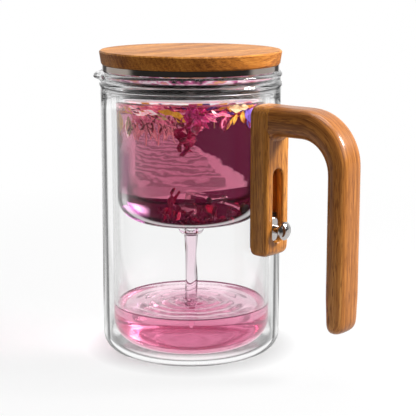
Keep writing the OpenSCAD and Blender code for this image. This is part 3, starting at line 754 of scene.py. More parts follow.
def infuser_profile():
    """The infuser's cup, flange and drain nozzle, as one closed loop."""
    floor_r = INF_R - INF_CORNER
    inner_r = INF_R - INF_WALL
    inner_corner = inner_r - floor_r
    low, high = FLANGE_Z
    edge = (high - low) / 2
    bowl_top_z = INF_UNDER_Z - 0.3
    bowl = []
    for k in range(9):
        turn = radians(90 * k / 8)
        bowl.append((NOZZLE_TIP_R + (NOZZLE_TOP_R - NOZZLE_TIP_R) * sin(turn) ** 0.7,
                     bowl_top_z - (bowl_top_z - NOZZLE_BOWL_Z) * cos(turn)))
    points = [(DRAIN_R + 0.3, NOZZLE_TIP_Z), (NOZZLE_TIP_R - 0.4, NOZZLE_TIP_Z)]
    points += [(NOZZLE_TIP_R, NOZZLE_TIP_Z + 0.4)] + bowl + [(NOZZLE_TOP_R + 0.5, INF_UNDER_Z)]
    points += between((NOZZLE_TOP_R + 0.5, INF_UNDER_Z), (floor_r, INF_UNDER_Z), 4)
    points += arc(floor_r, INF_UNDER_Z + INF_CORNER, INF_CORNER, -90, 0, 12)
    points += between((INF_R, INF_UNDER_Z + INF_CORNER), (INF_R, low - 0.8), 10)
    points += arc(INF_R + 0.8, low - 0.8, 0.8, 180, 90, 4)
    points += arc(FLANGE_R - edge, low + edge, edge, -90, 90, 8)
    points += arc(inner_r + 1.0, high - 1.0, 1.0, 90, 180, 5)
    points += between((inner_r, high - 1.0), (inner_r, INF_FLOOR_Z + inner_corner), 10)
    points += arc(floor_r, INF_FLOOR_Z + inner_corner, inner_corner, 0, -90, 12)
    points += between((floor_r, INF_FLOOR_Z), (SEAT_R + 0.4, INF_FLOOR_Z), 4)
    points += [(SEAT_R + 0.4, INF_FLOOR_Z), (SEAT_R, INF_FLOOR_Z - 0.4), (SEAT_R, SEAT_Z), (DRAIN_R, SEAT_Z)]
    return points + [(DRAIN_R, NOZZLE_TIP_Z + 0.3)]


def cut_notch(azimuth, r, z):
    """Draws the flange in beside the beak, where the pour leaves."""
    away = abs(turn_from(azimuth, BEAK_AZIMUTH)) * FLANGE_R
    if r <= NOTCH_R or z < FLANGE_Z[0] - 0.5:
        return r, z
    share = smooth_step(away, NOTCH_WIDTH / 2 - 0.6, NOTCH_WIDTH / 2 + 0.8)
    return NOTCH_R + (r - NOTCH_R) * share, z


# Both bodies carry painted shade lines; the infuser's foot edge also glows as a painted highlight.
jug_borosilicate = glass_material(
    "jug_borosilicate", foot_r=JUG_R - BASE_CORNER, corner_z=BASE_CORNER, skin=BASE_CORNER - BASE_KICK,
    inner=BASE_CORNER - JUG_WALL, skin_shine=FULL_SHINE, bare_z=BASE_CORNER, painted_outline=JUG_PAINTED_EDGE, painted_glint=0.0,
    painted_foot_line=FOOT_PAINTED_EDGE)
jug_glass = turned("jug_glass", jug_borosilicate, (jug_profile(), pull_beak), (jug_air_profile(), None))
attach(jug_glass, "jug")
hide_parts("jug_outer_wall", "jug_liner")

infuser_borosilicate = glass_material(
    "infuser_borosilicate", foot_r=INF_R - INF_CORNER, corner_z=INF_UNDER_Z + INF_CORNER,
    skin=INF_CORNER - INF_WALL / 4, inner=INF_CORNER - INF_WALL, skin_shine=INNER_SHINE,
    bare_z=INF_UNDER_Z - 0.5, painted_outline=INFUSER_PAINTED_EDGE, painted_glint=0.5)
infuser_cup = turned("infuser_cup", infuser_borosilicate, (infuser_profile(), cut_notch))
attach(infuser_cup, "infuser")
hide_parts("infuser_glass")

# Liquids

RIPPLE_HEIGHT = 1.1
RIPPLE_PITCH = 6.4
RIPPLE_REACH = 13.0
STREAM_R = 3.6
STREAM_THINS = 0.85


def swirl(azimuth, r, pitch, layer):
    """Slow noise over a liquid's top."""
    return noise.noise(polar(azimuth, pitch * r, layer))


def ripple(azimuth, r, z):
    """Rings that run out from the stream's foot over the pool."""
    if z < POOL_Z - 1.0:
        return r, z
    fade = exp(-r / RIPPLE_REACH)
    drift = swirl(azimuth, r, 0.09, 4.0)
    wave = RIPPLE_HEIGHT * fade * cos(2 * pi * (r / RIPPLE_PITCH + 0.25 * drift)) + 0.12 * drift
    return r, z + wave * (1 - smooth_step(r, 33.0, MENISCUS_R))


def tea_swell(azimuth, r, z):
    if z < TEA_Z - 0.5:
        return r, z
    return r, z + 0.3 * swirl(azimuth, r, 0.1, 9.0)


def liquid_profile(floor_r, wall_r, floor_z, top_z, climb, inset, floor_steps, wall_steps, rings):
    """A liquid in a cup with a rounded foot. climb is how far in from the wall and above the top each
    point lies where it climbs the wall, and inset where it is level."""
    corner = wall_r - floor_r
    edge = [(wall_r - away, top_z + rise) for away, rise in climb]
    points = [(floor_r * k / floor_steps, floor_z) for k in range(floor_steps + 1)]
    points += arc(floor_r, floor_z + corner, corner, -90, 0, 12)[1:]
    points += between((wall_r, floor_z + corner), edge[0], wall_steps) + edge
    return points + [((wall_r - inset) * k / rings, top_z) for k in range(rings, -1, -1)]


def stream_profile():
    """A jet that clings to the nozzle's tip, thins as it falls and tapers out inside the pool."""
    steps = 40
    points = [(0, STREAM_END_Z)]
    for k in range(1, steps):
        z = STREAM_END_Z + (STREAM_TOP_Z - STREAM_END_Z) * k / steps
        fall = min(max((NOZZLE_TIP_Z - z) / (NOZZLE_TIP_Z - POOL_Z), 0), 1)
        r = DRAIN_R - 0.05 if z > NOZZLE_TIP_Z + 0.2 else STREAM_R - STREAM_THINS * fall ** 0.6
        r *= smooth_step(z, STREAM_END_Z - 4.0, POOL_Z - 2.0)
        points.append((r, z))
    return points + [(0, STREAM_TOP_Z)]


def stream_sway(azimuth, r, z):
    """The slight twist of a real jet."""
    lobe = cos(2 * azimuth + z * 0.16) * 0.10 + cos(3 * azimuth - z * 0.23) * 0.05
    return r * (1 + lobe * smooth_step(NOZZLE_TIP_Z - z, 1.0, 10.0)), z


tea_profile = liquid_profile(INF_R - INF_CORNER, INF_R - INF_WALL + SOAK, INF_FLOOR_Z - SOAK, TEA_Z,
                             ((0.0, 1.2), (0.3, 0.8), (1.0, 0.25)), 2.2, 2, 10, 20)
infusion = turned("infusion", liquid_material("flower_infusion", (0.75, 0.136, 0.36, 1), 31.0, tea_skin),
                  (tea_profile, tea_swell))
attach(infusion, "infuser")

pool_profile = liquid_profile(LINER_R - LINER_CORNER, LINER_R - LINER_WALL + SOAK, LINER_FLOOR_Z - SOAK,
                              POOL_Z, ((0.0, 0.9), (0.3, 0.7), (0.9, 0.25)), 1.8, 6, 4, 60)
# The pool has a faint painted glow
pool = turned("brewed_pool", liquid_material("brewed_tea", (0.80, 0.19, 0.44, 1), 25.0, pool_skin, 0.08),
              (pool_profile, ripple))
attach(pool, "jug")

stream = turned("drain_stream", liquid_material("falling_tea", (0.80, 0.30, 0.55, 1), 60.0),
                (stream_profile(), stream_sway))
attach(stream, "infuser")
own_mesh(stream)

# Petals

PETAL_T = 0.22
FREE_ROLL = 0.7
FREE_CUP = 0.5
LAID_CUP = 0.35
LAID_CURL = 0.15
RAGGED = 0.15
SHRED_T = 0.3
TWIST = 1.6
QUARTER = 1.57


class Bunch:
    """Petals, stems and shreds of one colour, gathered into one mesh."""

    def __init__(self, seed):
        self.builder = bmesh.new()
        self.draw = random.Random(seed)

    def shift(self):
        """A random place in the noise."""
        return Vector([self.draw.uniform(0, 50) for _ in range(3)])

    def sheet(self, rows, thickness):
        """A thin closed sheet on a grid of points."""
        across = len(rows[0])
        sides = []
        for lift in (0.5, -0.5):
            layer = []
            for i, row in enumerate(rows):
                line = []
                for j, point in enumerate(row):
                    along = rows[min(i + 1, len(rows) - 1)][j] - rows[max(i - 1, 0)][j]
                    over = row[min(j + 1, across - 1)] - row[max(j - 1, 0)]
                    face = over.cross(along).normalized()
                    line.append(self.builder.verts.new(point + face * thickness * lift))
                layer.append(line)
            sides.append(layer)
        top, under = sides
        for i in range(len(rows) - 1):
            for j in range(across - 1):
                self.builder.faces.new((top[i][j], top[i][j + 1], top[i + 1][j + 1], top[i + 1][j]))
                self.builder.faces.new((under[i][j], under[i + 1][j], under[i + 1][j + 1], under[i][j + 1]))
        last = len(rows) - 1
        edge = [(0, j) for j in range(across)] + [(i, across - 1) for i in range(1, last + 1)]
        edge += [(last, j) for j in range(across - 2, -1, -1)] + [(i, 0) for i in range(last - 1, 0, -1)]
        for (i, j), (m, n) in zip(edge, edge[1:] + edge[:1]):
            self.builder.faces.new((top[i][j], under[i][j], under[m][n], top[m][n]))

    def petal(self, place, length, width, heading, tilt, curl=0.4):
        """A cupped petal with its foot at place. Heading is its plan direction and tilt its rise, in
        degrees."""
        turn = Matrix.Rotation(radians(heading), 3, "Z") @ Matrix.Rotation(-radians(tilt), 3, "Y")
        self.leaf(place, turn, FREE_ROLL, length, width, FREE_CUP, curl)

    def lay(self, across, height, length, width, lean, roll=0.35):
        """A petal against the infuser's wall, as seen from the camera. From its foot at across and height
        it hangs down, turned by lean, in degrees, towards the right."""
        reach = PETAL_R - 0.6
        near = sqrt(reach ** 2 - across ** 2)
        out = seen_at(across, near, 0) / reach
        side = seen_at(near, -across, 0) / reach
        along = side * sin(radians(lean)) - UP * cos(radians(lean))
        turn = Matrix((along, out.cross(along), out)).transposed()
        self.leaf(seen_at(across, near, height), turn, roll, length, width, LAID_CUP, LAID_CURL)

    def leaf(self, place, turn, most_roll, length, width, cup, curl):
        """One petal from place along turn's first column, pressed flat where it would pass the infuser's
        wall."""
        roll = Matrix.Rotation(self.draw.uniform(-most_roll, most_roll), 3, "X")
        shift = self.shift()
        rows = []
        for i in range(9):
            s = i / 8
            half = 0.12 + width / 2 * sin(pi * min(0.06 + 0.90 * s, 0.985) ** 1.3)
            row = []
            for j in range(7):
                t = j / 3 - 1
                wave = noise.noise(Vector((3 * s, 2 * t, 0)) + shift)
                point = Vector((length * s * (1 - 0.12 * t * t),
                                half * t * (1 + RAGGED * wave),
                                width * (cup * t * t * 0.5 + curl * s * s * 0.6 + 0.14 * wave)))
                spot = place + turn @ (roll @ point)
                squeeze = min(PETAL_R / hypot(spot.x, spot.y), 1.0)
                row.append(Vector((spot.x * squeeze, spot.y * squeeze, spot.z)))
            rows.append(row)
        self.sheet(rows, PETAL_T)

    def flower(self, place, size, count, rise):
        """A small flower head: a whorl of petals round one point."""
        first = self.draw.uniform(0, 360)
        for k in range(count):
            heading = first + 360 * k / count + self.draw.uniform(-12, 12)
            length = size * self.draw.uniform(0.8, 1.15)
            width = size * self.draw.uniform(0.45, 0.65)
            self.petal(place, length, width, heading, self.draw.uniform(rise - 25, rise + 25))

    def strand(self, points, start_r, end_r):
        """A bent round stem or fibre through points."""
        sides = 6
        rings = []
        for k, point in enumerate(points):
            ahead = (points[min(k + 1, len(points) - 1)] - points[max(k - 1, 0)]).normalized()
            side = ahead.orthogonal().normalized()
            other = ahead.cross(side)
            r = start_r + (end_r - start_r) * k / (len(points) - 1)
            ring = []
            for m in range(sides):
                turn = 2 * pi * m / sides
                spot = point + side * r * cos(turn) + other * r * sin(turn)
                ring.append(self.builder.verts.new(spot))
            rings.append(ring)
        for low, high in zip(rings, rings[1:]):
            offset = min(range(sides), key=lambda m: (high[m].co - low[0].co).length)
            for m in range(sides):
                a, b = low[m], low[(m + 1) % sides]
                c, d = high[(m + 1 + offset) % sides], high[(m + offset) % sides]
                self.builder.faces.new((a, b, c, d))
        self.builder.faces.new(tuple(reversed(rings[0])))
        self.builder.faces.new(tuple(rings[-1]))

    def stem(self, start, end, sag, start_r, end_r):
        """A strand from start to end that bows by sag."""
        bow = Vector([self.draw.uniform(-1, 1) for _ in range(3)]) * sag
        points = []
        for k in range(9):
            s = k / 8
            points.append(start.lerp(end, s) + bow * sin(pi * s))
        self.strand(points, start_r, end_r)

    def shred(self, start, end, width):
        """A crumpled strip, as a soaked calyx hangs."""
        along = end - start
        side = along.orthogonal().normalized()
        other = along.normalized().cross(side)
        shift = self.shift()
        rows = []
        for i in range(11):
            s = i / 10
            turn = TWIST * s * pi + 2.0 * noise.noise(Vector((2.2 * s, 0, 0)) + shift)
            lean = side * cos(turn) + other * sin(turn)
            lift = side * cos(turn + QUARTER) + other * sin(turn + QUARTER)
            taper = sin(pi * min(0.05 + 0.9 * s, 0.98))
            half = 0.15 + width / 2 * (0.35 + abs(noise.noise(Vector((4 * s, 7, 0)) + shift))) * taper
            sway = (side * noise.noise(Vector((2 * s, 0, 5)) + shift)
                    + other * noise.noise(Vector((2 * s, 9, 5)) + shift)) * width * 0.5
            row = []
            for j in range(5):
                t = j / 2 - 1
                crease = noise.noise(Vector((5 * s, 2 * t, 3)) + shift) * width * 0.22
                row.append(start + along * s + sway + lean * half * t + lift * crease)
            rows.append(row)
        self.sheet(rows, SHRED_T)

    def clump(self, place, size):
        """A crumpled soaked bud or bit."""
        grown = bmesh.ops.create_icosphere(self.builder, subdivisions=2, radius=1.0)["verts"]
        shift = self.shift()
        turn = Matrix.Rotation(self.draw.uniform(0, 6.3), 3, "Z")
        for vert in grown:
            swell = 1 + 0.55 * noise.noise(vert.co * 1.6 + shift)
            flat = Vector((vert.co.x * size, vert.co.y * size * 0.6, vert.co.z * size * 0.5))
            vert.co = place + turn @ flat * swell

    def finish(self, name, material):
        bmesh.ops.recalc_face_normals(self.builder, faces=self.builder.faces)
        piece = object_from(name, self.builder, material)
        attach(piece, "infuser")


def afloat(draw, low_r, high_r, low_z, high_z):
    """A random point among the floating petals."""
    azimuth = draw.uniform(0, 2 * pi)
    r = sqrt(draw.uniform(low_r ** 2, high_r ** 2))
    return polar(azimuth, r, draw.uniform(low_z, high_z))


SEEDS = range(11, 21)
ochre, cream, pink, magenta, maroon, violet, fibres, blush, wet_rose, dusk = [Bunch(seed) for seed in SEEDS]

# Petals that the camera sees against the wall: across, height, length, width, lean
LAID = (
    (ochre,
     (-32.8, 126.5, 13, 9.0, 4), (-30.5, 129.5, 8, 4.0, 64), (-15, 128.5, 9, 3.0, 84),
     (-10.5, 127.6, 8, 3.0, 76), (-7.5, 126, 6, 3.6, 62), (21, 126.5, 6, 2.2, -20),
     (19.5, 124.5, 7, 1.4, -34), (23.5, 127.5, 5.5, 3.2, 8), (22.5, 125.5, 5, 1.6, 30)),
    (maroon,
     (-32.6, 117.5, 11, 8.0, 6), (-34.2, 129.5, 6, 4.0, 24), (14.5, 124.5, 7, 3.6, 10),
     (17, 124.5, 6, 2.8, -12), (25.5, 122.5, 5, 3.6, 20), (2.2, 124.5, 8, 5.5, 4), (-27, 128.5, 6, 2, 70),
     (-20, 126.5, 7, 2, 80), (-24, 124, 6, 2.2, 40), (-12, 124, 6, 2.4, 60), (-8, 122, 6, 3, 20)),
    (cream,
     (-27, 127.4, 9, 3.0, 82), (-25, 125.8, 8, 2.2, 96), (-21.5, 128.6, 8, 2.6, 76),
     (-29.5, 122, 9, 2.4, 8), (9.5, 129, 5, 1.4, 40)),
    (fibres,
     (17.5, 130.0, 8, 4.4, 80), (22, 130.2, 6, 3.6, 86), (-28.6, 124, 10, 5.0, 4),
     (-18, 126.4, 9, 2.6, 74)),
    (pink,
     (-27, 125.4, 8, 2.6, 58), (-23, 124.6, 8, 2.4, 72), (-19, 127.0, 11, 2.8, 60),
     (-30, 129.0, 7, 2.6, 70), (-14, 125.6, 9, 2.2, 50), (8, 127.3, 6, 1.6, 74), (11.5, 127, 6, 1.8, 86),
     (14.5, 126.8, 5, 1.6, 70), (16, 125, 6, 2.6, -20), (7, 125.6, 6, 1.6, 62)),
    (magenta,
     (-1.2, 131, 8, 3.6, 4), (2.2, 131, 8, 3.6, -8), (0.8, 127.5, 7, 4.0, 30), (2, 126.5, 7, 4.2, -30),
     (3.5, 125.5, 6, 2.6, 62), (-1.0, 126.5, 6, 3.0, -40), (6, 127, 5, 1.8, 70), (4.5, 124, 6, 2.0, 42),
     (9, 126, 4, 1.8, 80), (13, 127.5, 4, 2.0, 90)),
    (violet,
     (25.2, 129, 8, 4.8, 18), (27.8, 127.5, 9, 5.0, -6), (26.2, 124, 6, 4.4, 8), (29.5, 128, 9, 3.6, -12),
     (-34.6, 112, 10, 3.6, 4)),
)
for bunch, *places in LAID:
    for across, height, length, width, lean in places:
        bunch.lay(across, height, length, width, lean)

# Small ones that fill the gaps at the left
for number in range(40):
    bunch = (blush, blush, dusk)[number % 3]
    bunch.lay(-29.0 + 0.6 * number, 123.5 + blush.draw.uniform(-3, 2.5), blush.draw.uniform(5, 11),
              blush.draw.uniform(0.9, 3.4), blush.draw.uniform(-60, 60), roll=1.2)

# Soaked bits under the middle flower: across, height, size
BITS = ((4.3, 123, 1.3), (6.2, 122.2, 1.4), (5, 120.2, 1.3), (6.8, 120.8, 1.1), (4.2, 119, 1.0))
BITS_R = 34.2
for across, height, size in BITS:
    pink.clump(seen_at(across, sqrt(BITS_R ** 2 - across ** 2), height), size)

# Flower heads: place as seen_at takes it, size, number of petals, their rise
FLOWERS = (
    (magenta, (1, 31, 127), 4.0, 8, 50),
    (magenta, (0, 30, 130), 3.6, 7, 30),
    (magenta, (5, 31, 127), 3.4, 7, 40),
    (pink, (-15, 28, 128), 5.5, 7, 30),
    (violet, (25, 21, 126), 5.0, 7, 30),
)
for bunch, place, size, count, rise in FLOWERS:
    bunch.flower(seen_at(*place), size, count, rise)

# Shreds that hang in the infusion or lie near its floor: both ends, and the width
SHREDS = (
    (maroon, (0, 33, 125), (-5, 34, 106.5), 14.0),
    (maroon, (1, 32.5, 124), (-3, 34, 109), 13.0),
    (maroon, (-1, 33, 122), (-4.5, 34, 108), 12.0),
    (magenta, (2, 33, 127), (-2, 34, 119), 7.0),
    (maroon, (-7, 30, 90), (-9, 28, 75), 4.5),
    (maroon, (-5, 29, 88), (-14, 26, 73), 4.0),
    (maroon, (-6, 28, 80), (4, 28, 74), 4.0),
)
for bunch, start, end, width in SHREDS:
    bunch.shred(seen_at(*start), seen_at(*end), width)

# Stems that hang at the left
for number in range(6):
    start = seen_at(-27 + 3.1 * number, 23 + 1.6 * number, 125)
    across = -27 + 2.6 * number + fibres.draw.uniform(-2, 2)
    drop = seen_at(across, 22 + 1.6 * number, fibres.draw.uniform(109, 117))
    blush.stem(start, drop, 1.0, 0.6, 0.4)

# Petals and fibres afloat, and petals along the wall where the camera sees only its far side
AFLOAT = (ochre, cream, pink, magenta, violet)
for number in range(95):
    bunch = AFLOAT[number % len(AFLOAT)]
    place = afloat(bunch.draw, 6, 31, 126, 130)
    bunch.petal(place, bunch.draw.uniform(5, 8), bunch.draw.uniform(3, 5.5), bunch.draw.uniform(0, 360),
                bunch.draw.uniform(-15, 40))
WALL_PETALS = 84
NEAR_SIDE = 10
for number in range(WALL_PETALS):
    bunch = AFLOAT[(number * 2 + number // 5) % len(AFLOAT)]
    azimuth = 360 * number / WALL_PETALS + bunch.draw.uniform(-4, 4)
    r = bunch.draw.uniform(30.5, 33.5)
    place = polar(radians(azimuth), r, bunch.draw.uniform(118.5, 127))
    length = bunch.draw.uniform(5, 9)
    if place.dot(TOWARD) > NEAR_SIDE:
        continue
    width = length * bunch.draw.uniform(0.5, 0.8)
    heading = azimuth + bunch.draw.choice((80, 100, -80, -100))
    bunch.petal(place, length, width, heading, bunch.draw.uniform(-20, 60), curl=0.2)
for _ in range(18):
    place = afloat(fibres.draw, 5, 32, 124, 130)
    way = Vector([fibres.draw.uniform(-5, 5) for _ in range(2)] + [fibres.draw.uniform(-9, -2)])
    fibres.stem(place, place + way, 1.5, 0.35, 0.2)

# What has sunk: bits at the far side and in front, and a row of shreds clear of the rocker
for _ in range(26):
    azimuth = radians(maroon.draw.uniform(60, 300))
    r = maroon.draw.uniform(9, 27)
    place = polar(azimuth, r, INF_FLOOR_Z + maroon.draw.uniform(1.2, 3.0))
    maroon.clump(place, maroon.draw.uniform(1.6, 3.2))
for _ in range(14):
    across = maroon.draw.uniform(-4, 22)
    near = maroon.draw.uniform(14, 24)
    place = seen_at(across, near, INF_FLOOR_Z + maroon.draw.uniform(1.4, 4.0))
    maroon.clump(place, maroon.draw.uniform(1.8, 3.2))
for number in range(12):
    height = INF_FLOOR_Z + maroon.draw.uniform(2.0, 4.5)
    foot = seen_at(-10 + 2.6 * number, 27.5 - 0.008 * number * number, height)
    top = foot + seen_at(maroon.draw.uniform(-5, 3), maroon.draw.uniform(-2, 1), maroon.draw.uniform(3, 9))
    wet_rose.shred(foot, top, maroon.draw.uniform(4.0, 6.5))

# The pieces: name, material, light and dark tone, painted glow
PETALS = (
    (blush, "petals_blush", "petal_blush", (232, 140, 152), (164, 70, 96), 0.4),
    (dusk, "petals_dusk", "petal_dusk", (130, 48, 62), (84, 22, 38), 0.3),
    (ochre, "petals_ochre", "petal_ochre", (230, 174, 60), (190, 122, 34), 0.35),
    (cream, "petals_cream", "petal_cream", (255, 240, 238), (236, 150, 170), 0.6),
    (pink, "petals_pink", "petal_pink", (240, 140, 166), (186, 56, 98), 0.4),
    (magenta, "petals_magenta", "petal_magenta", (204, 36, 114), (116, 8, 62), 0.25),
    (maroon, "hibiscus_shreds", "hibiscus", (170, 10, 72), (62, 2, 24), 0.3),
    (wet_rose, "rose_shreds", "wet_rose", (160, 24, 84), (70, 6, 36), 0.15),
    (violet, "petals_violet", "petal_violet", (122, 80, 180), (62, 32, 116), 0.15),
    (fibres, "flower_fibres", "flower_fibre", (214, 184, 140), (158, 118, 78), 0.25),
)
for bunch, name, material, light, dark, glow in PETALS:
    bunch.finish(name, petal_material(material, tone(*light), tone(*dark), glow))

# Finishes of the CAD nodes

wood_up = wood_material("hardwood_upright", grain_up, *WOOD_TONES, painted_light=in_slot)
wood_lid = wood_material("hardwood_lid", grain_lid, *WOOD_TONES, ring_pitch=2.4, ring_share=0.07,
                         face_z=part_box("lid_wood")[1][2] / MM, coat=0.0)
# Painted light: the slot's floor is a lighter copy of the wood
wood_slot_painted_light = wood_material("hardwood_slot_painted_light", grain_up, *PAINTED_LIGHT_SLOT_TONES)
wood_bent = wood_material("hardwood_bent", grain_bent, *BENT_TONES)
polished = steel_material("polished_steel", (0.60, 0.57, 0.55, 1), 0.13, 6.0)
sheet_steel = steel_material("sheet_steel", (0.70, 0.69, 0.68, 1), 0.16, 9.0)
# Painted reflection: the band's steel is darker and browner, standing in for what it mirrors
band_steel = steel_material("band_steel", (0.40, 0.34, 0.30, 1), 0.1, 6.0)
plug_steel = plug_material("plug_steel")
nickel = steel_material("magnet_nickel", (0.10, 0.09, 0.09, 1), 0.35, 2.0)
MILKY = ((0.35, tone(214, 212, 206)), (0.65, tone(240, 238, 234)))
WATER_CLEAR = ((0.3, grey(1.0)), (0.7, grey(1.0)))
DARK_PLASTIC = ((0.3, tone(48, 45, 42)), (0.7, tone(70, 66, 62)))
silicone, wet_silicone = [
    cast_material(name, (0.5, 0.5, 0.5), 3.0, MILKY, (0.04, 0.14), (0.1, 0.1), IOR=ior,
                  Transmission_Weight=0.97, Specular_Tint=INNER_SHINE)
    for name, ior in (("clear_silicone", 1.41), ("wet_silicone", 1.06))]
clear_plastic = cast_material("clear_plastic", (0.3, 0.3, 0.1), 2.0, WATER_CLEAR, (0.02, 0.06), (0.05, 0.2),
                              IOR=1.04, Transmission_Weight=1.0, Specular_Tint=INNER_SHINE)
shoe_plastic = cast_material("shoe_plastic", (2.5, 2.5, 2.5), 3.0, DARK_PLASTIC, (0.3825, 0.5175),
                             (0.12, 0.05))

block_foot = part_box("handle_block")[0][2] / MM
grip_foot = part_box("handle_grip")[0][2] / MM
BLOCK_EASE = 0.4
GRIP_EASE = 0.22


def off_joint(x):
    """0 in the joint's plane, and 1 away from it."""
    return smooth_step(abs(x - JOINT_X), 0.3, 3.0)


def block_held(x, z):
    """The joint's plane stays, the slot's edges are eased, and the foot is rounded."""
    if z > ARM_FILLET_Z:
        return BLOCK_EASE * off_joint(x)
    return BLOCK_EASE + (1 - BLOCK_EASE) * (1 - smooth_step(z, block_foot + 3.0, block_foot + 8.0))


def grip_held(x, z):
    """The joint's plane stays, the arm and grip are eased, and the foot is rounded most."""
    round_foot = 1 - smooth_step(z, grip_foot + 8.0, grip_foot + 20.0)
    return (GRIP_EASE + (1 - GRIP_EASE) * round_foot) * off_joint(x)


block = softened("handle_block_sanded", "handle_block", wood_up, 24, block_held)
grip = softened("handle_grip_sanded", "handle_grip", wood_bent, 120, grip_held)
for piece, node_name in ((block, "handle_block"), (grip, "handle_grip")):
    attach(piece, "jug")
    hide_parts(node_name)

FINISHES = (
    (wood_slot_painted_light, "slot_backing"),
    (wood_bent, "handle_dowels"),
    (wood_lid, "lid_wood"),
    (polished, "slider_knob", "slider_shuttle", "rocker_pin"),
    (band_steel, "lid_band"),
    (plug_steel, "lid_plug"),
    (sheet_steel, "lid_screws", "drain_strainer"),
    (clear_plastic, "rocker_bracket", "rocker_arm"),
    (nickel, "slider_magnet", "follower_magnet"),
    (silicone, "bond_pad", "lid_seal"),
    (wet_silicone, "drain_grommet", "valve_plug"),
    (shoe_plastic, "slider_shoe"),
)
for finish, *node_names in FINISHES:
    for node_name in node_names:
        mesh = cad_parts[node_name].data
        mesh.materials.clear()
        mesh.materials.append(finish)

# Stage: floor, lamps, world and camera. Lengths are millimetres, those of the lamps metres, angles degrees

scene = bpy.context.scene
FLOOR_HALF = 3000
FLOOR_TONE = (0.60, 0.597, 0.597, 1)
FLOOR_DIM = grey(0.34)
PAINTED_CONTACT_SHADOW = (41.0, 56.0, 0.66, 1.0)
LIFT = (140.0, 480.0, 0.84, 1.0)
MIRRORED_FLOOR = (60.0, 330.0, 0.9, 0.05)
MIRRORED_FLATS = (22.0, 42.0, 4.0)
FLAT_DEPTH = 0.85
MIRRORED_ROOM = (-0.02, 0.85, 0.06, 1.0)
EVEN_LIGHT = 0.26

# A ray bent more often than this came through the full infuser, or was mirrored inside the jug
JUG_CROSSINGS = 12.5
INNER_CROSSINGS = 7.5

# What only rays through the tea see. Depths and light are those of red, green and blue
CARD_EDGE = 745.0
CARD_SLANT = 1.6
CARD_DEPTH = (0.79, 0.92, 0.84)
RIPPLE_SLANT = 2.9
RIPPLE_START = 475.0
RIPPLE_END = 2000.0
RIPPLE_DEPTH = (0.16, 0.52)
RIPPLE_SCALE = 0.0115
FLANK = (36.0, 130.0, 12.0)
FLANK_DEPTH = (0.78, 0.88, 0.66)
WALL_DEPTH = (0.88, 0.985, 0.93)
WALL_TOP = 26.0
SCREEN_FOOT = 12.5
SCREEN_LIGHT = (6.8, 9.0, 10.5)

# What other rays through glass see at both sides, and rays that the infuser's skin mirrors
SIDE_GREY = (24.0, 62.0, 4.0)
SIDE_DEPTH = 0.3
INNER_SIDES = (34.0, 200.0, 6.0)
INNER_DEPTH = 0.95

# Lamps: azimuth, elevation, distance, width, height, watts
LAMPS = (
    ("key_light", 36, 33, 0.95, 0.22, 0.22, 12.5),
    ("fill_light", 8, 24, 1.1, 0.7, 0.5, 2.8),
    ("top_light", CAMERA_AZIMUTH + 120, 74, 0.9, 0.6, 0.6, 5.0),
)
LAMP_AIM_Z = 0.08


def bearing(g, vector):
    """Degrees from straight behind the object, positive to the right as the camera sees it."""
    return g.math("ARCTAN2", g.dot(vector, RIGHT), g.dot(vector, -TOWARD)) * (180 / pi)


def through_tea(g, rays):
    """1 for light that has come through the full infuser, whose two walls and tea bend it more often than
    the jug alone does."""
    return g.math("GREATER_THAN", rays["Transmission Depth"], JUG_CROSSINGS)


def room_shade(g, ahead, tea):
    """The room as glass and liquid see it: white. Through the tea it has a dark wall low down behind and
    a bright screen at the right."""
    side = bearing(g, ahead)
    rise = g.math("ARCSINE", g.split(ahead)[2]) * (180 / pi)
    wall = rise.band(-90.0, WALL_TOP, 6.0) * side.band(-140.0, 90.0, 10.0) * tea
    screen = rise.band(SCREEN_FOOT, WALL_TOP, 4.0) * side.band(20.0, 60.0, 8.0) * tea
    return g.join(*[shaded(1.0, wall, depth) + screen * light
                    for depth, light in zip(WALL_DEPTH, SCREEN_LIGHT)])


def floor_shade(g, here, tea):
    """The floor as glass and liquid see it: white, and a little grey beyond both sides. Through the tea,
    which turns left and right round, it has a straight dark card behind and to the left, half-tone
    ripples, and a dark flank at the right."""
    side = bearing(g, here)
    aside = g.dot(here, RIGHT)
    behind = g.dot(here, -TOWARD)
    card = side.band(-80.0, 0.0, 1.0) * (behind - aside * CARD_SLANT).rise(CARD_EDGE - 8, CARD_EDGE + 8)
    wave = g.stripes(g.join(aside * 0.5, behind, 0.0), RIPPLE_SCALE, 5.0, 0.02, axis="Y")
    half = (behind - aside * RIPPLE_SLANT).band(0.0, CARD_EDGE, 16.0)
    half = half * behind.band(RIPPLE_START, RIPPLE_END, 20.0)
    half_depth = wave.spread(0.2, 0.8, *RIPPLE_DEPTH)
    flank = side.band(*FLANK)
    level = shaded(1.0, abs(side).band(*SIDE_GREY), SIDE_DEPTH)
    tints = []
    for depth, flank_depth in zip(CARD_DEPTH, FLANK_DEPTH):
        through = shaded(shaded(1.0, card, depth), half, half_depth)
        through = shaded(through, flank, flank_depth)
        tints.append(level + tea * (through - level))
    return g.join(*tints)


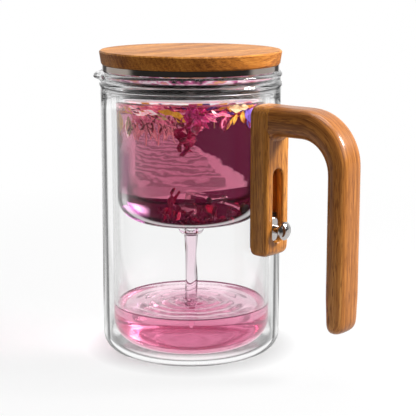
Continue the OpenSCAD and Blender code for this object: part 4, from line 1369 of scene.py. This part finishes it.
def floor_material():
    """White floor that keeps the shadow. Seen directly it is lifted towards white away from the object,
    and has a painted shadow, darker at the object's foot. Glass and liquid see it lit, but where the
    infuser's skin mirrors it inside the jug it is dark at the sides. Metal mirrors a floor that ends some
    way in front of the object."""
    g = Graph("studio_floor")
    rays = g.add("LightPath").outputs
    here = g.place()
    away = g.wire("VectorMath", {0: here}, "Value", operation="LENGTH")
    sideways = abs(bearing(g, here))
    matt = g.take("BsdfDiffuse", {"Color": FLOOR_TONE})
    # Painted shadow: less white close to the object's foot
    white = g.glow("Emission", grey(1.0), away.spread(*PAINTED_CONTACT_SHADOW))
    shown = g.blend(away.spread(*LIFT), matt, white)
    inner = g.math("GREATER_THAN", rays["Glossy Depth"], 0.5)
    inner = inner * g.math("GREATER_THAN", rays["Transmission Depth"], INNER_CROSSINGS)
    inner = inner * sideways.band(*INNER_SIDES)
    through = g.glow("Emission", floor_shade(g, here, through_tea(g, rays)),
                     shaded(1.0, inner, INNER_DEPTH))
    fade = shaded(g.dot(here, TOWARD).spread(*MIRRORED_FLOOR), sideways.band(*MIRRORED_FLATS), FLAT_DEPTH)
    mirrored = g.glow("Emission", grey(1.0), fade)
    dim = g.take("BsdfDiffuse", {"Color": FLOOR_DIM})
    g.by_ray(rays, dim, mirrored, through, shown)
    return g.material


def world_light(world):
    """Soft even light. Seen directly the room is white, glass and liquid see it with its dark wall and
    bright screen, and metal mirrors a white end behind the object and a dark end in front of it."""
    g = Graph("studio", world)
    rays = g.add("LightPath").outputs
    ahead = g.take("TexCoord", output="Generated")
    even = g.glow("Background", grey(1.0), EVEN_LIGHT)
    white = g.glow("Background", grey(1.0), 1.0)
    through = g.glow("Background", room_shade(g, ahead, through_tea(g, rays)), 1.0)
    mirrored = g.glow("Background", grey(1.0), g.dot(ahead, -TOWARD).spread(*MIRRORED_ROOM))
    g.by_ray(rays, even, mirrored, through, white)


def softbox(name, azimuth, elevation, reach, width, height, watts):
    """An area lamp that faces the object's middle."""
    lamp = bpy.data.lights.new(name, "AREA")
    lamp.shape = "RECTANGLE"
    lamp.size = width
    lamp.size_y = height
    lamp.energy = watts
    made = bpy.data.objects.new(name, lamp)
    turn = radians(azimuth)
    rise = radians(elevation)
    aim = Vector((cos(turn) * cos(rise), sin(turn) * cos(rise), sin(rise)))
    made.location = UP * LAMP_AIM_Z + aim * reach
    made.rotation_euler = aim.to_track_quat("Z", "Y").to_euler()
    scene.collection.objects.link(made)
    made.visible_camera = False


builder = bmesh.new()
bmesh.ops.create_grid(builder, x_segments=8, y_segments=8, size=FLOOR_HALF)
floor = object_from("studio_floor", builder, floor_material())

for lamp in LAMPS:
    softbox(*lamp)

scene.world = bpy.data.worlds.new("studio")
world_light(scene.world)

lens = bpy.data.cameras.new("camera")
lens.lens = CAMERA_LENS
lens.sensor_width = SENSOR
lens.clip_start = 0.01
camera = bpy.data.objects.new("camera", lens)
camera.location = TOWARD * CAMERA_REACH * MM + UP * CAMERA_HEIGHT * MM
camera.rotation_euler = (radians(90 - CAMERA_PITCH), 0, radians(CAMERA_AZIMUTH + 90 - CAMERA_YAW))
scene.collection.objects.link(camera)
scene.camera = camera

scene.view_settings.view_transform = "Standard"
scene.cycles.max_bounces = 36
scene.cycles.transmission_bounces = 36
scene.cycles.glossy_bounces = 8
scene.cycles.transparent_max_bounces = 48
